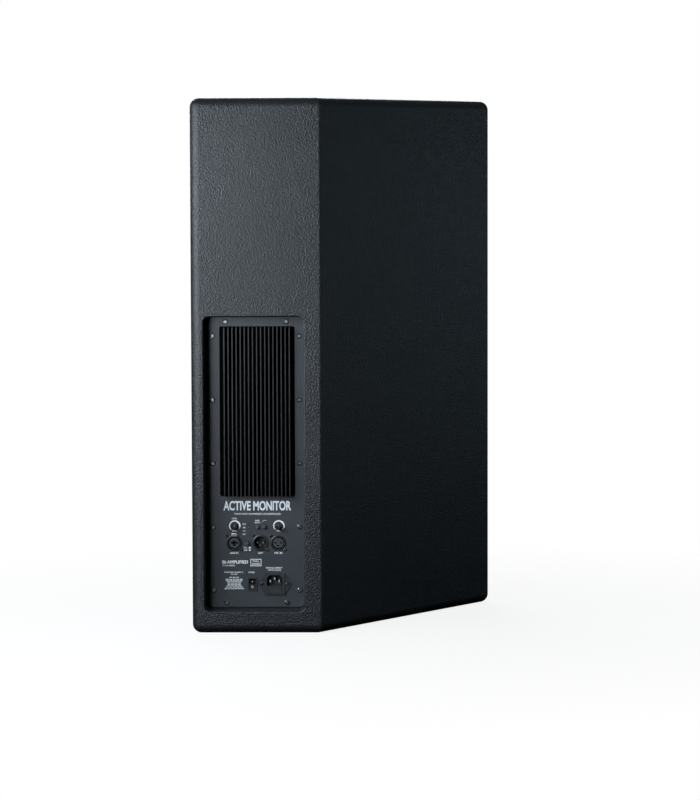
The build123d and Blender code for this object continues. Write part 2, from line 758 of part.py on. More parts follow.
HANDLE_BAR_R = 12.0
with BuildPart() as handle_bar:
    with BuildSketch(Plane.XZ.offset(-(HANDLE_Y - HANDLE_LONG / 2))):
        with Locations((X_STRAIGHT - HANDLE_BAR_R - 2.5, HANDLE_Z)):
            Circle(HANDLE_BAR_R)
    extrude(amount=-HANDLE_LONG)
save(handle_bar, "handle_bar")

with BuildPart() as countersunk_screws:
    with BuildSketch(Plane.XY.offset(POLE_FLANGE_T - 1.0)):
        with Locations((SOCKET_X, SOCKET_Y)):
            with PolarLocations(POLE_SCREW_RING, 4, start_angle=45):
                Circle(1.8)
    extrude(amount=12)
    with BuildSketch(Plane.XY.offset(0.1)):
        with Locations((SOCKET_X, SOCKET_Y)):
            with PolarLocations(POLE_SCREW_RING, 4, start_angle=45):
                Circle(1.9)
                Rectangle(2.4, 0.7, mode=Mode.SUBTRACT)
    extrude(amount=POLE_FLANGE_T - 1.1)
    with BuildSketch(handle_plane.offset(-0.1 - HANDLE_FLANGE_T)):
        with GridLocations(*handle_screw_spacing, 2, 2):
            Circle(1.8)
    extrude(amount=-11)
    with BuildSketch(handle_plane.offset(-0.1 - HANDLE_FLANGE_T)):
        with GridLocations(*handle_screw_spacing, 2, 2):
            Circle(1.9)
            Rectangle(2.6, 0.7, mode=Mode.SUBTRACT)
    extrude(amount=HANDLE_FLANGE_T - 0.1)
save(countersunk_screws, "countersunk_screws")

# ---------------------------------------------------------------- amplifier panel
KNOB_U, KNOB_V = 34.5, -100.0
KNOB_R = 5.5
BUTTON_SPOTS = {
    "boost_button": (1.0, -100.6),
    "low_cut_button": (11.7, -100.6),
    "mode_button": (-15.0, -126.8),
}
BUTTON_R = 3.4
JACK_V = -126.3
JACKS = {"line_combo_jack": -35.0, "line_out_socket": 5.9, "mic_in_socket": 33.7}
JACK_NOSE = {"line_combo_jack": 12.5, "line_out_socket": 12.6, "mic_in_socket": 12.0}
JACK_SCREW = 10.8
LED_U, LED_R = -12.2, 1.5
LED_VS = (-97.3, -102.5, -107.9, -113.2)
SWITCH_U, SWITCH_V = -7.2, -191.0
INLET_U, INLET_V = 28.0, -190.9
INLET_FLANGE = (31.5, 33.2)
INLET_EAR = 26.0
INLET_SCREW = 20.0

knob_places = [on_panel(side * KNOB_U, KNOB_V) for side in (-1, 1)]
button_places = [on_panel(u, v) for u, v in BUTTON_SPOTS.values()]
led_places = [on_panel(LED_U, v) for v in LED_VS]
inlet_place = on_panel(INLET_U, INLET_V)
switch_place = on_panel(SWITCH_U, SWITCH_V)
sink_place = on_panel(SINK_U, SINK_V)
jack_places = {name: on_panel(u, JACK_V) for name, u in JACKS.items()}
jack_screw_places = []
for x, z in jack_places.values():
    jack_screw_places += [(x + JACK_SCREW, z + JACK_SCREW), (x - JACK_SCREW, z - JACK_SCREW)]
inlet_screw_places = [(inlet_place[0] + side * INLET_SCREW, inlet_place[1]) for side in (-1, 1)]
TAB_V = 12.9  # the combo jack's release tab, above its centre
tab_place = (jack_places["line_combo_jack"][0], jack_places["line_combo_jack"][1] + TAB_V)
TAB_SIZE = (10.0, 5.6)

with BuildPart() as amp_panel:
    with BuildSketch(facing_front(Y_PANEL)):
        with Locations((PANEL_X, PANEL_Z)):
            RectangleRounded(PANEL_W, PANEL_H, 7)
        with Locations(sink_place):
            RectangleRounded(SINK_W, SINK_H, 3, mode=Mode.SUBTRACT)
        with Locations(*panel_screw_places, *knob_places):
            Circle(3.4, mode=Mode.SUBTRACT)
        with Locations(*button_places):
            Circle(BUTTON_R + 0.4, mode=Mode.SUBTRACT)
        with Locations(*led_places):
            Circle(LED_R + CLEAR, mode=Mode.SUBTRACT)
        for name, place in jack_places.items():
            with Locations(place):
                Circle(JACK_NOSE[name] - 1.2 + CLEAR, mode=Mode.SUBTRACT)
        with Locations(tab_place):
            Rectangle(TAB_SIZE[0] + 1, TAB_SIZE[1] + 1, mode=Mode.SUBTRACT)
        with Locations(*jack_screw_places, *inlet_screw_places):
            Circle(1.5 + CLEAR, mode=Mode.SUBTRACT)
        with Locations(switch_place):
            Rectangle(13.2, 19.2, mode=Mode.SUBTRACT)
        with Locations(inlet_place):
            Rectangle(28.2, 30.2, mode=Mode.SUBTRACT)
    extrude(amount=PANEL_T)
save(amp_panel, "amp_panel")
save(screws(panel_screw_places, Y_PANEL, 3.9, 2.4, 1.7, 15, outward=1), "amp_panel_screws")

SINK_BASE_T = 8.0
with BuildPart() as heat_sink:
    with BuildSketch(facing_front(Y_PANEL_BACK)):
        with Locations(sink_place):
            Rectangle(SINK_W + 1.5, SINK_H + 1)
    extrude(amount=SINK_BASE_T)
    with BuildSketch(facing_front(Y_PANEL_BACK)):
        with Locations(sink_place):
            with GridLocations(FIN_PITCH, 0, FIN_COUNT, 1):
                Rectangle(FIN_T, SINK_H - 2.5)
    extrude(amount=-(PANEL_T + FIN_PROUD))
save(heat_sink, "heat_sink")

# ---------------------------------------------------------------- controls
KNOB_BASE = Y_PANEL + 0.4
KNOB_TALL = 10.0


def level_knob(x, z):
    """A small round knob with a pointer groove from its centre to its rim, on a bored hub."""
    with BuildPart() as knob:
        with BuildSketch(turning(x, z)):
            with BuildLine():
                Polyline(
                    (3.05, KNOB_BASE),
                    (KNOB_R, KNOB_BASE),
                    (KNOB_R, KNOB_BASE + 2.2),
                    (KNOB_R - 0.7, KNOB_BASE + 2.8),
                    (KNOB_R - 1.1, KNOB_BASE + KNOB_TALL - 0.8),
                    (KNOB_R - 1.9, KNOB_BASE + KNOB_TALL),
                    (0, KNOB_BASE + KNOB_TALL),
                    (0, KNOB_BASE + KNOB_TALL - 2.5),
                    (3.05, KNOB_BASE + KNOB_TALL - 2.5),
                    close=True,
                )
            make_face()
        revolve(axis=y_axis(x, z))
        with BuildSketch(facing_front(KNOB_BASE + KNOB_TALL + 0.1)):
            with Locations((x, z + KNOB_R / 2)):
                Rectangle(0.8, KNOB_R)
        extrude(amount=0.7, mode=Mode.SUBTRACT)
        with BuildSketch(facing_front(KNOB_BASE + KNOB_TALL)):
            with Locations((x, z)):
                with PolarLocations(KNOB_R + 0.1, 12, start_angle=15):
                    Circle(0.6)
        extrude(amount=KNOB_TALL - 2.9, mode=Mode.SUBTRACT)
    return knob


shaft_back = Y_PANEL_BACK - 7
shaft_tip = KNOB_BASE + KNOB_TALL - 2.6
for name, (x, z) in zip(("line_level_knob", "mic_level_knob"), knob_places):
    with BuildPart() as knob_and_shaft:
        add(level_knob(x, z).part)
        add(turned(x, z, [(0, shaft_back), (3.0, shaft_back), (3.0, shaft_tip), (0, shaft_tip)]).part)
    save(knob_and_shaft, name)

BUTTON_PROUD = 5.0
for name, (x, z) in zip(BUTTON_SPOTS, button_places):
    front = Y_PANEL + BUTTON_PROUD
    cap = turned(
        x,
        z,
        [
            (0, Y_PANEL_BACK - 12),
            (1.5, Y_PANEL_BACK - 12),
            (1.5, Y_PANEL_BACK - 3),
            (BUTTON_R, Y_PANEL_BACK - 3),
            (BUTTON_R, front - 0.7),
            (BUTTON_R - 0.7, front),
            (0, front),
        ],
    )
    save(cap, name)

with BuildPart() as indicator_leds:
    for x, z in led_places:
        with BuildSketch(turning(x, z)):
            with BuildLine():
                Polyline(
                    (0, Y_PANEL_BACK - 4),
                    (LED_R, Y_PANEL_BACK - 4),
                    (LED_R, Y_PANEL),
                    (LED_R * 0.75, Y_PANEL + 0.6),
                    (0, Y_PANEL + 0.9),
                    close=True,
                )
            make_face()
        revolve(axis=y_axis(x, z))
save(indicator_leds, "indicator_leds")

# ---------------------------------------------------------------- signal connectors
JACK_BODY = 27.0
JACK_DEEP = 22.0
NOSE_PROUD = 1.6
NOSE_BEZEL = 0.9
XLR_BORE_R = 9.4
XLR_PINS = ((-4.4, 0.0), (4.4, 0.0), (0.0, -4.2))


def jack_shell(name, bore_r, bore_deep):
    """Moulded connector shell: a square body behind the panel, a round nose through it and a round bore."""
    x, z = jack_places[name]
    nose = JACK_NOSE[name]
    with BuildPart() as shell:
        with BuildSketch(facing_front(Y_PANEL_BACK)):
            with Locations((x, z)):
                RectangleRounded(JACK_BODY, JACK_BODY, 2)
        extrude(amount=JACK_DEEP)
        with BuildSketch(facing_front(Y_PANEL_BACK)):
            with Locations((x, z)):
                Circle(nose - 1.2)
        extrude(amount=-PANEL_T)
        with BuildSketch(turning(x, z)):
            with BuildLine():
                Polyline(
                    (bore_r, Y_PANEL),
                    (nose, Y_PANEL),
                    (nose, Y_PANEL + NOSE_BEZEL),
                    (nose - 1.4, Y_PANEL + NOSE_PROUD),
                    (bore_r + 0.6, Y_PANEL + NOSE_PROUD),
                    (bore_r, Y_PANEL + NOSE_PROUD - 0.6),
                    close=True,
                )
            make_face()
        revolve(axis=y_axis(x, z))
        with BuildSketch(facing_front(Y_PANEL)):
            with Locations((x, z)):
                Circle(bore_r)
            with Locations((x + JACK_SCREW, z + JACK_SCREW), (x - JACK_SCREW, z - JACK_SCREW)):
                Circle(1.5 + CLEAR)
        extrude(amount=bore_deep, mode=Mode.SUBTRACT)
    return shell.part


bore_floor = 17.0
with BuildPart() as line_out_socket:
    add(jack_shell("line_out_socket", XLR_BORE_R, bore_floor))
save(line_out_socket, "line_out_socket")
x_out, z_out = jack_places["line_out_socket"]
with BuildPart() as mic_in_socket:
    add(jack_shell("mic_in_socket", XLR_BORE_R + 0.2, bore_floor))
save(mic_in_socket, "mic_in_socket")
x_mic, z_mic = jack_places["mic_in_socket"]
x_combo, z_combo = jack_places["line_combo_jack"]
with BuildPart() as line_combo_jack:
    add(jack_shell("line_combo_jack", XLR_BORE_R + 0.4, bore_floor))
    with BuildSketch(facing_front(Y_PANEL + NOSE_PROUD + 0.1)):
        with Locations(tab_place):
            Rectangle(TAB_SIZE[0] + 0.6, TAB_SIZE[1] + 0.6)
    extrude(amount=NOSE_PROUD + PANEL_T + 4, mode=Mode.SUBTRACT)
save(line_combo_jack, "line_combo_jack")
JACK_BORE_R = 3.3
XLR_HOLE_R = 1.35
with BuildPart() as connector_inserts:
    with BuildSketch(facing_front(Y_PANEL - bore_floor)):
        with Locations((x_combo, z_combo), (x_mic, z_mic)):
            Circle(8.2)
    extrude(amount=-bore_floor - 0.4)
    with BuildSketch(facing_front(Y_PANEL + 0.4)):
        with Locations((x_combo, z_combo)):
            Circle(JACK_BORE_R)
        with Locations((x_combo, z_combo), (x_mic, z_mic)):
            with Locations(*[(-u * 1.05, v * 1.05) for u, v in XLR_PINS]):
                Circle(XLR_HOLE_R)
        with Locations((x_mic, z_mic + 8.1)):
            Rectangle(2.6, 2.4)
    extrude(amount=15, mode=Mode.SUBTRACT)
save(connector_inserts, "connector_inserts")

with BuildPart() as combo_release_tab:
    with BuildSketch(facing_front(Y_PANEL - PANEL_T - 1.2)):
        with Locations(tab_place):
            RectangleRounded(*TAB_SIZE, 1.2)
    extrude(amount=-(PANEL_T + 1.2 + NOSE_PROUD + 1.2))
    tab_face = combo_release_tab.faces().sort_by(Axis.Y)[-1]
    fillet(tab_face.edges(), 0.8)
save(combo_release_tab, "combo_release_tab")

# ---------------------------------------------------------------- mains inlet, fuse drawer and power switch
ix, iz = inlet_place
INLET_FLANGE_T = 3.0
EAR_T = 1.6
BODY_DEEP = 26.0
C14 = (24.6, 16.8)
C14_V = 5.5
C14_DEEP = 17.0
C14_CHAMFER = 4.6
DRAWER = (22.0, 8.6)
DRAWER_V = -10.2
DRAWER_DEEP = 24.0


def c14_outline(grow=0.0):
    """The inlet's mouth: a rectangle with its two top corners cut off."""
    w, h, c = C14[0] / 2 + grow, C14[1] / 2 + grow, C14_CHAMFER
    mid = iz + C14_V
    return [
        (ix - w, mid - h),
        (ix + w, mid - h),
        (ix + w, mid + h - c),
        (ix + w - c, mid + h),
        (ix - w + c, mid + h),
        (ix - w, mid + h - c),
    ]


with BuildPart() as mains_inlet:
    with BuildSketch(facing_front(Y_PANEL)):
        with BuildLine():
            half_w, half_h = INLET_FLANGE[0] / 2, INLET_FLANGE[1] / 2
            Polyline(
                (ix - half_w, iz - half_h),
                (ix + half_w, iz - half_h),
                (ix + INLET_EAR, iz - 1.5),
                (ix + INLET_EAR, iz + 1.5),
                (ix + half_w, iz + half_h),
                (ix - half_w, iz + half_h),
                (ix - INLET_EAR, iz + 1.5),
                (ix - INLET_EAR, iz - 1.5),
                close=True,
            )
        make_face()
    extrude(amount=-EAR_T)
    with BuildSketch(facing_front(Y_PANEL)):
        with Locations(inlet_place):
            RectangleRounded(INLET_FLANGE[0], INLET_FLANGE[1], 1.2)
    extrude(amount=-INLET_FLANGE_T)
    with BuildSketch(facing_front(Y_PANEL)):
        with Locations(inlet_place):
            Rectangle(27.8, 29.8)
    extrude(amount=BODY_DEEP)
    with BuildSketch(facing_front(Y_PANEL + INLET_FLANGE_T)):
        with BuildLine():
            Polyline(*c14_outline(), close=True)
        make_face()
    extrude(amount=C14_DEEP, mode=Mode.SUBTRACT)
    with BuildSketch(facing_front(Y_PANEL + INLET_FLANGE_T)):
        with Locations((ix, iz + DRAWER_V)):
            Rectangle(DRAWER[0] + 0.6, DRAWER[1] + 0.6)
    extrude(amount=DRAWER_DEEP + 0.4, mode=Mode.SUBTRACT)
    with BuildSketch(facing_front(Y_PANEL + INLET_FLANGE_T)):
        with Locations(*inlet_screw_places):
            Circle(1.5 + CLEAR)
    extrude(amount=INLET_FLANGE_T + 1, mode=Mode.SUBTRACT)
save(mains_inlet, "mains_inlet")
with BuildPart() as socket_screws:
    add(screws(jack_screw_places, Y_PANEL, 2.6, 1.5, 1.5, 12, outward=1).part)
    add(screws(inlet_screw_places, Y_PANEL + EAR_T, 2.6, 1.5, 1.5, 12, outward=1).part)
save(socket_screws, "socket_screws")

PIN_LIVE_V = C14_V - 1.2
PIN_EARTH_V = C14_V + 2.8
with BuildPart() as contact_pins:
    with BuildSketch(facing_front(Y_PANEL + INLET_FLANGE_T - C14_DEEP)):
        with Locations((ix - 7, iz + PIN_LIVE_V), (ix + 7, iz + PIN_LIVE_V), (ix, iz + PIN_EARTH_V)):
            RectangleRounded(2.0, 4.0, 0.6)
    extrude(amount=-(C14_DEEP - 2.5))
    for u, v in XLR_PINS:
        with BuildSketch(turning(x_out - u, z_out + v)):
            with BuildLine():
                tip = Y_PANEL - 2.0
                Polyline(
                    (0, Y_PANEL - bore_floor),
                    (1.2, Y_PANEL - bore_floor),
                    (1.2, tip - 0.8),
                    (0.6, tip),
                    (0, tip),
                    close=True,
                )
            make_face()
        revolve(axis=y_axis(x_out - u, z_out + v))
save(contact_pins, "contact_pins")


drawer_front = Y_PANEL + INLET_FLANGE_T + 0.4
with BuildPart() as fuse_drawer:
    with BuildSketch(facing_front(drawer_front)):
        with Locations((ix, iz + DRAWER_V)):
            Rectangle(*DRAWER)
    extrude(amount=DRAWER_DEEP)
    with BuildSketch(facing_front(drawer_front - 2.6)):
        with Locations((ix, iz + DRAWER_V + 0.9)):
            Rectangle(DRAWER[0] - 1.2, DRAWER[1] - 1.8)
    extrude(amount=DRAWER_DEEP - 4, mode=Mode.SUBTRACT)
    with BuildSketch(facing_front(drawer_front)):
        with Locations((ix, iz + DRAWER_V + DRAWER[1] / 2 - 0.6)):
            Rectangle(9, 1.2)
    extrude(amount=1.2, mode=Mode.SUBTRACT)
save(fuse_drawer, "fuse_drawer")

with BuildPart() as mains_fuses:
    for deep in (6.5, 14.5):
        centre = drawer_front - deep
        fuse_end = Plane(origin=(ix - 10.1, centre, iz + DRAWER_V), x_dir=(0, 1, 0), z_dir=(1, 0, 0))
        with BuildSketch(fuse_end):
            with Locations((0, 0.4)):
                Circle(2.5)
        extrude(amount=20.2)
save(mains_fuses, "mains_fuses")

sx, sz = switch_place
SWITCH_BEZEL = (15.0, 21.0)
SWITCH_WINDOW = (11.2, 17.2)
ROCKER_TILT = 8.0
y_pivot = Y_PANEL - 3.0
with BuildPart() as switch_housing:
    with BuildSketch(facing_front(Y_PANEL)):
        with Locations(switch_place):
            RectangleRounded(*SWITCH_BEZEL, 1.4)
    extrude(amount=-1.8)
    with BuildSketch(facing_front(Y_PANEL)):
        with Locations(switch_place):
            Rectangle(13.0, 19.0)
    extrude(amount=20)
    with BuildSketch(facing_front(Y_PANEL + 1.8)):
        with Locations(switch_place):
            Rectangle(*SWITCH_WINDOW)
    extrude(amount=13, mode=Mode.SUBTRACT)
save(switch_housing, "switch_housing")

with BuildPart() as power_rocker:
    half_long = SWITCH_WINDOW[1] / 2 - 0.9
    tilt = radians(ROCKER_TILT)
    level = [
        (-half_long, 5.0),
        (0.0, 3.4),
        (half_long, 5.0),
        (half_long - 0.9, -3.4),
        (1.4, -4.6),
        (-1.4, -4.6),
        (-half_long + 0.9, -3.4),
    ]
    # The foot is pressed in at rest, so the level profile is turned about the pivot.
    at_rest = [(up * cos(tilt) - out * sin(tilt), up * sin(tilt) + out * cos(tilt)) for up, out in level]
    rocker_side = sx - SWITCH_WINDOW[0] / 2 + 0.35
    side_plane = Plane(origin=(rocker_side, y_pivot, sz), x_dir=(0, 0, 1), z_dir=(-1, 0, 0))
    with BuildSketch(side_plane):
        with BuildLine():
            Polyline(*at_rest, close=True)
        make_face()
    extrude(amount=-(SWITCH_WINDOW[0] - 0.7))
save(power_rocker, "power_rocker")

# ---------------------------------------------------------------- amplifier electronics
CHASSIS = (126.0, 430.0)
CHASSIS_Y = 72.0
SHEET = 1.2
with BuildPart() as amp_chassis:
    with BuildSketch(facing_front(Y_PANEL_BACK)):
        with Locations((PANEL_X, PANEL_Z)):
            Rectangle(*CHASSIS)
    extrude(amount=Y_PANEL_BACK - CHASSIS_Y)
    with BuildSketch(facing_front(Y_PANEL_BACK)):
        with Locations((PANEL_X, PANEL_Z)):
            Rectangle(CHASSIS[0] - 2 * SHEET, CHASSIS[1] - 2 * SHEET)
    extrude(amount=Y_PANEL_BACK - CHASSIS_Y - SHEET, mode=Mode.SUBTRACT)
save(amp_chassis, "amp_chassis")


BOARD_T = 1.6
y_input_board = Y_PANEL_BACK - JACK_DEEP - 1
y_amp_board = Y_PANEL_BACK - SINK_BASE_T - 22
y_supply_board = CHASSIS_Y + 14

with BuildPart() as amplifier_board:
    with BuildSketch(facing_front(y_amp_board)):
        with Locations(sink_place):
            Rectangle(104, 250)
    extrude(amount=BOARD_T)
    with BuildSketch(facing_front(y_amp_board)):
        with Locations(sink_place):
            with GridLocations(60, 32, 2, 5):
                Rectangle(16, 21)
    extrude(amount=-21.8)
    with BuildSketch(facing_front(y_amp_board - BOARD_T)):
        with Locations(sink_place):
            with GridLocations(44, 60, 2, 3):
                Circle(15)
    extrude(amount=32)
save(amplifier_board, "amplifier_board")

with BuildPart() as input_board:
    with BuildSketch(facing_front(y_input_board)):
        with Locations(on_panel(0, -112)):
            Rectangle(112, 70)
    extrude(amount=BOARD_T)
    with BuildSketch(facing_front(y_input_board)):
        with Locations(*knob_places):
            RectangleRounded(16, 18, 2)
    extrude(amount=-(Y_PANEL_BACK - 0.2 - y_input_board))
    with BuildSketch(facing_front(Y_PANEL_BACK)):
        with Locations(*knob_places):
            Circle(3.06)
    extrude(amount=8, mode=Mode.SUBTRACT)
    with BuildSketch(facing_front(y_input_board)):
        with Locations(*button_places):
            Rectangle(8, 8)
    extrude(amount=-(Y_PANEL_BACK - 6 - y_input_board))
    with BuildSketch(facing_front(Y_PANEL_BACK)):
        with Locations(*button_places):
            Circle(1.8)
    extrude(amount=16, mode=Mode.SUBTRACT)
save(input_board, "input_board")

with BuildPart() as power_supply_board:
    with BuildSketch(facing_front(y_supply_board)):
        with Locations(on_panel(0, -172)):
            Rectangle(108, 44)
    extrude(amount=BOARD_T)
    with BuildSketch(facing_front(y_supply_board)):
        with Locations(on_panel(-30, -172)):
            Rectangle(34, 30)
    extrude(amount=-24)
save(power_supply_board, "power_supply_board")

# ---------------------------------------------------------------- leads from the amplifier to the drivers
LEAD_R = 2.5


def lead(points, radius):
    """A round lead along straight runs joined by arcs."""
    with BuildPart() as cable:
        with BuildLine() as route:
            FilletPolyline(*points, radius=radius)
        with BuildSketch(Plane(origin=points[0], z_dir=Vector(*points[1]) - Vector(*points[0]))):
            Circle(LEAD_R)
        sweep()
    return cable


woofer_lead_route = [
    (PANEL_X - 30, CHASSIS_Y, 340),
    (PANEL_X - 30, CHASSIS_Y - 40, 340),
    (WX + 40, CHASSIS_Y - 62, 352),
    (WX, CHASSIS_Y - 84, 335),
    (WX, y_gap + 28, WZ + 79),
    (WX, y_gap, WZ + 79),
]
horn_lead_route = [
    (PANEL_X - 20, CHASSIS_Y, 440),
    (PANEL_X - 20, CHASSIS_Y - 34, 440),
    (PANEL_X - 40, CHASSIS_Y - 20, 520),
    (PANEL_X - 55, CHASSIS_Y, 620),
    (HX, y_hf + 96, HORN_Z),
    (HX, y_hf + 56, HORN_Z),
]
with BuildPart() as speaker_leads:
    for route in (woofer_lead_route, horn_lead_route):
        add(lead(route, 12).part)
save(speaker_leads, "speaker_leads")

# ---------------------------------------------------------------- acoustic lining
with BuildPart() as damping_foam:
    with BuildSketch(Plane(origin=(X_INNER, -10, 200), x_dir=(0, 1, 0), z_dir=(-1, 0, 0))):
        Rectangle(230, 340)
    extrude(amount=14)
    with BuildSketch(Plane.XY.offset(Z_TOP)):
        with Locations((120, 40)):
            Rectangle(140, 180)
    extrude(amount=-20)
save(damping_foam, "damping_foam")
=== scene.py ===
"""Looks of the powered stage monitor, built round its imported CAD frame. Metres, +Z up.

The grille faces -Y and the amplifier panel faces +Y, as in the frame.
"""

import json
from math import atan2, cos, pi, radians, sin, sqrt, tan

import bmesh
import bpy
from mathutils import Matrix, Vector


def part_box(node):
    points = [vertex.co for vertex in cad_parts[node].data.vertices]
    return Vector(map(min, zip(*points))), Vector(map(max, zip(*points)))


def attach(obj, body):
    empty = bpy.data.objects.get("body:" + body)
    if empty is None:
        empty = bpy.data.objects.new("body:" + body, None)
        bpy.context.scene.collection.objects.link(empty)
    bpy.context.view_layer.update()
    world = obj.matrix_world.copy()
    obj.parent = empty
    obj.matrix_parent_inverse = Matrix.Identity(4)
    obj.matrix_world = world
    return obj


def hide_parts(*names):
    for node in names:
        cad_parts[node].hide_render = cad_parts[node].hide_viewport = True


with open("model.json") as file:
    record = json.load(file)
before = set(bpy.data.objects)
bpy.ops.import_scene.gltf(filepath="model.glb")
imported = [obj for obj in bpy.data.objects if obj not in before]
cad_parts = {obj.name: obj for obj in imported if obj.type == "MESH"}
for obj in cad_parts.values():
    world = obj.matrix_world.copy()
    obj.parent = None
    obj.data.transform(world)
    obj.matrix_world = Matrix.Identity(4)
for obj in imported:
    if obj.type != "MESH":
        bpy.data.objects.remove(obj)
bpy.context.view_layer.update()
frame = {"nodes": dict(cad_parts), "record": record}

MM = 0.001

# ---------------------------------------------------------------- camera
CAMERA_PLACE = (-0.1059, 5.2062, 0.7216)
CAMERA_YAW = radians(1.069)
CAMERA_PITCH = radians(4.08)
CAMERA_ROLL = radians(-0.18)
CAMERA_LENS = 146.34
SENSOR_WIDE = 36
CLIP_NEAR, CLIP_FAR = 0.05, 60


def make_camera():
    data = bpy.data.cameras.new("camera")
    camera = bpy.data.objects.new("camera", data)
    bpy.context.scene.collection.objects.link(camera)
    ahead = Vector((
        sin(CAMERA_YAW) * cos(CAMERA_PITCH),
        -cos(CAMERA_YAW) * cos(CAMERA_PITCH),
        -sin(CAMERA_PITCH),
    ))
    level_right = ahead.cross(Vector((0, 0, 1))).normalized()
    level_up = level_right.cross(ahead)
    right = cos(CAMERA_ROLL) * level_right + sin(CAMERA_ROLL) * level_up
    up = -sin(CAMERA_ROLL) * level_right + cos(CAMERA_ROLL) * level_up
    turn = Matrix((right, up, -ahead)).transposed().to_4x4()
    camera.matrix_world = Matrix.Translation(CAMERA_PLACE) @ turn
    data.lens = CAMERA_LENS
    data.sensor_width = SENSOR_WIDE
    data.clip_start = CLIP_NEAR
    data.clip_end = CLIP_FAR
    bpy.context.scene.camera = camera


make_camera()

# ---------------------------------------------------------------- places read from the frame
panel_low, panel_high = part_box("amp_panel")
PANEL_X = (panel_low.x + panel_high.x) / 2
PANEL_Z = (panel_low.z + panel_high.z) / 2
PANEL_Y = panel_high.y
slant_axis = next(m for m in frame["record"]["mounts"] if m["name"] == "monitor_face")["axis"]
SLANT = atan2(slant_axis[1], -slant_axis[0])


# ---------------------------------------------------------------- material nodes
class Finish:
    """A procedural material and short ways to add nodes to it.

    Textures use object coordinates, in metres.
    """

    def __init__(self, name):
        self.material = bpy.data.materials.new(name)
        self.material.use_nodes = True
        self.tree = self.material.node_tree
        self.shader = self.tree.nodes["Principled BSDF"]
        self.place = self.node("ShaderNodeTexCoord").outputs["Object"]

    def node(self, kind, **settings):
        made = self.tree.nodes.new(kind)
        for name, value in settings.items():
            setattr(made, name, value)
        return made

    def join(self, source, target):
        self.tree.links.new(source, target)

    def stretched(self, stretch):
        if stretch == (1, 1, 1):
            return self.place
        mapping = self.node("ShaderNodeMapping")
        mapping.inputs["Scale"].default_value = stretch
        self.join(self.place, mapping.inputs["Vector"])
        return mapping.outputs["Vector"]

    def noise(self, scale, detail=3.0, stretch=(1, 1, 1), rough=0.5):
        made = self.node("ShaderNodeTexNoise")
        made.inputs["Scale"].default_value = scale
        made.inputs["Detail"].default_value = detail
        made.inputs["Roughness"].default_value = rough
        self.join(self.stretched(stretch), made.inputs["Vector"])
        return made.outputs["Fac"]

    def cells(self, scale, feature="SMOOTH_F1", stretch=(1, 1, 1)):
        made = self.node("ShaderNodeTexVoronoi", feature=feature)
        made.inputs["Scale"].default_value = scale
        self.join(self.stretched(stretch), made.inputs["Vector"])
        return made.outputs["Distance"]

    def stripes(self, scale, axis="Z", distortion=0.0):
        made = self.node("ShaderNodeTexWave", wave_type="BANDS", bands_direction=axis)
        made.inputs["Scale"].default_value = scale
        made.inputs["Distortion"].default_value = distortion
        self.join(self.place, made.inputs["Vector"])
        return made.outputs["Fac"]

    def sum(self, first, second, operation="ADD"):
        made = self.node("ShaderNodeMath", operation=operation)
        for socket, value in zip(made.inputs, (first, second)):
            if isinstance(value, (int, float)):
                socket.default_value = value
            else:
                self.join(value, socket)
        return made.outputs["Value"]

    def ranged(self, value, low, high, from_low=0.3, from_high=0.7):
        made = self.node("ShaderNodeMapRange", clamp=True)
        made.inputs["From Min"].default_value = from_low
        made.inputs["From Max"].default_value = from_high
        made.inputs["To Min"].default_value = low
        made.inputs["To Max"].default_value = high
        self.join(value, made.inputs["Value"])
        return made.outputs["Result"]

    def blend(self, value, dark, light, low=0.35, high=0.65):
        """A colour between dark and light, by a value that runs from low to high."""
        ramp = self.node("ShaderNodeValToRGB")
        ends = ramp.color_ramp.elements
        ends[0].position, ends[0].color = low, (*dark, 1)
        ends[1].position, ends[1].color = high, (*light, 1)
        self.join(value, ramp.inputs["Fac"])
        return ramp.outputs["Color"]

    def mixed(self, factor, first, second):
        made = self.node("ShaderNodeMix", data_type="RGBA")
        self.join(factor, made.inputs["Factor"])
        for socket, value in ((made.inputs[6], first), (made.inputs[7], second)):
            if isinstance(value, tuple):
                socket.default_value = (*value, 1)
            else:
                self.join(value, socket)
        return made.outputs[2]

    def colour(self, source):
        self.join(source, self.shader.inputs["Base Color"])

    def roughness(self, source):
        self.join(source, self.shader.inputs["Roughness"])

    def bump(self, *layers):
        """Layers of (height source, height in metres), laid over each other."""
        normal = None
        for source, height in layers:
            made = self.node("ShaderNodeBump")
            made.inputs["Strength"].default_value = 1.0
            made.inputs["Distance"].default_value = height
            self.join(source, made.inputs["Height"])
            if normal is not None:
                self.join(normal, made.inputs["Normal"])
            normal = made.outputs["Normal"]
        self.join(normal, self.shader.inputs["Normal"])

    def set(self, **values):
        """Sets constant shader inputs, such as specular_ior_level=0.4."""
        for name, value in values.items():
            socket = self.shader.inputs[name.replace("_", " ").title().replace("Ior", "IOR")]
            socket.default_value = value


def dimmed(colour, share):
    return tuple(c * share for c in colour)


def pebbled_paint():
    """Thick water-based paint, rolled on so that it dries in small rounded pebbles."""
    f = Finish("cabinet_paint")
    f.bump((f.noise(60, 2.0), 0.00018), (f.noise(380, 2.5, rough=0.6), 0.0012), (f.cells(800), 0.00025))
    tone = f.blend(f.noise(9, 5.0), (0.0145, 0.0165, 0.0185), (0.0185, 0.0208, 0.0232))
    worn = f.ranged(f.noise(260, 6.0, rough=0.8), 0.0, 1.0, 0.64, 0.74)
    f.colour(f.mixed(worn, tone, (0.03, 0.033, 0.036)))
    f.roughness(f.ranged(f.noise(70, 4.0), 0.3, 0.4))
    f.set(specular_ior_level=0.5)
    return f.material


def matt_paint(name, colour):
    f = Finish(name)
    f.colour(f.blend(f.noise(30, 5.0), dimmed(colour, 0.8), dimmed(colour, 1.2)))
    f.roughness(f.ranged(f.noise(160, 4.0), 0.6, 0.8))
    f.bump((f.noise(450, 4.0), 0.0003))
    return f.material


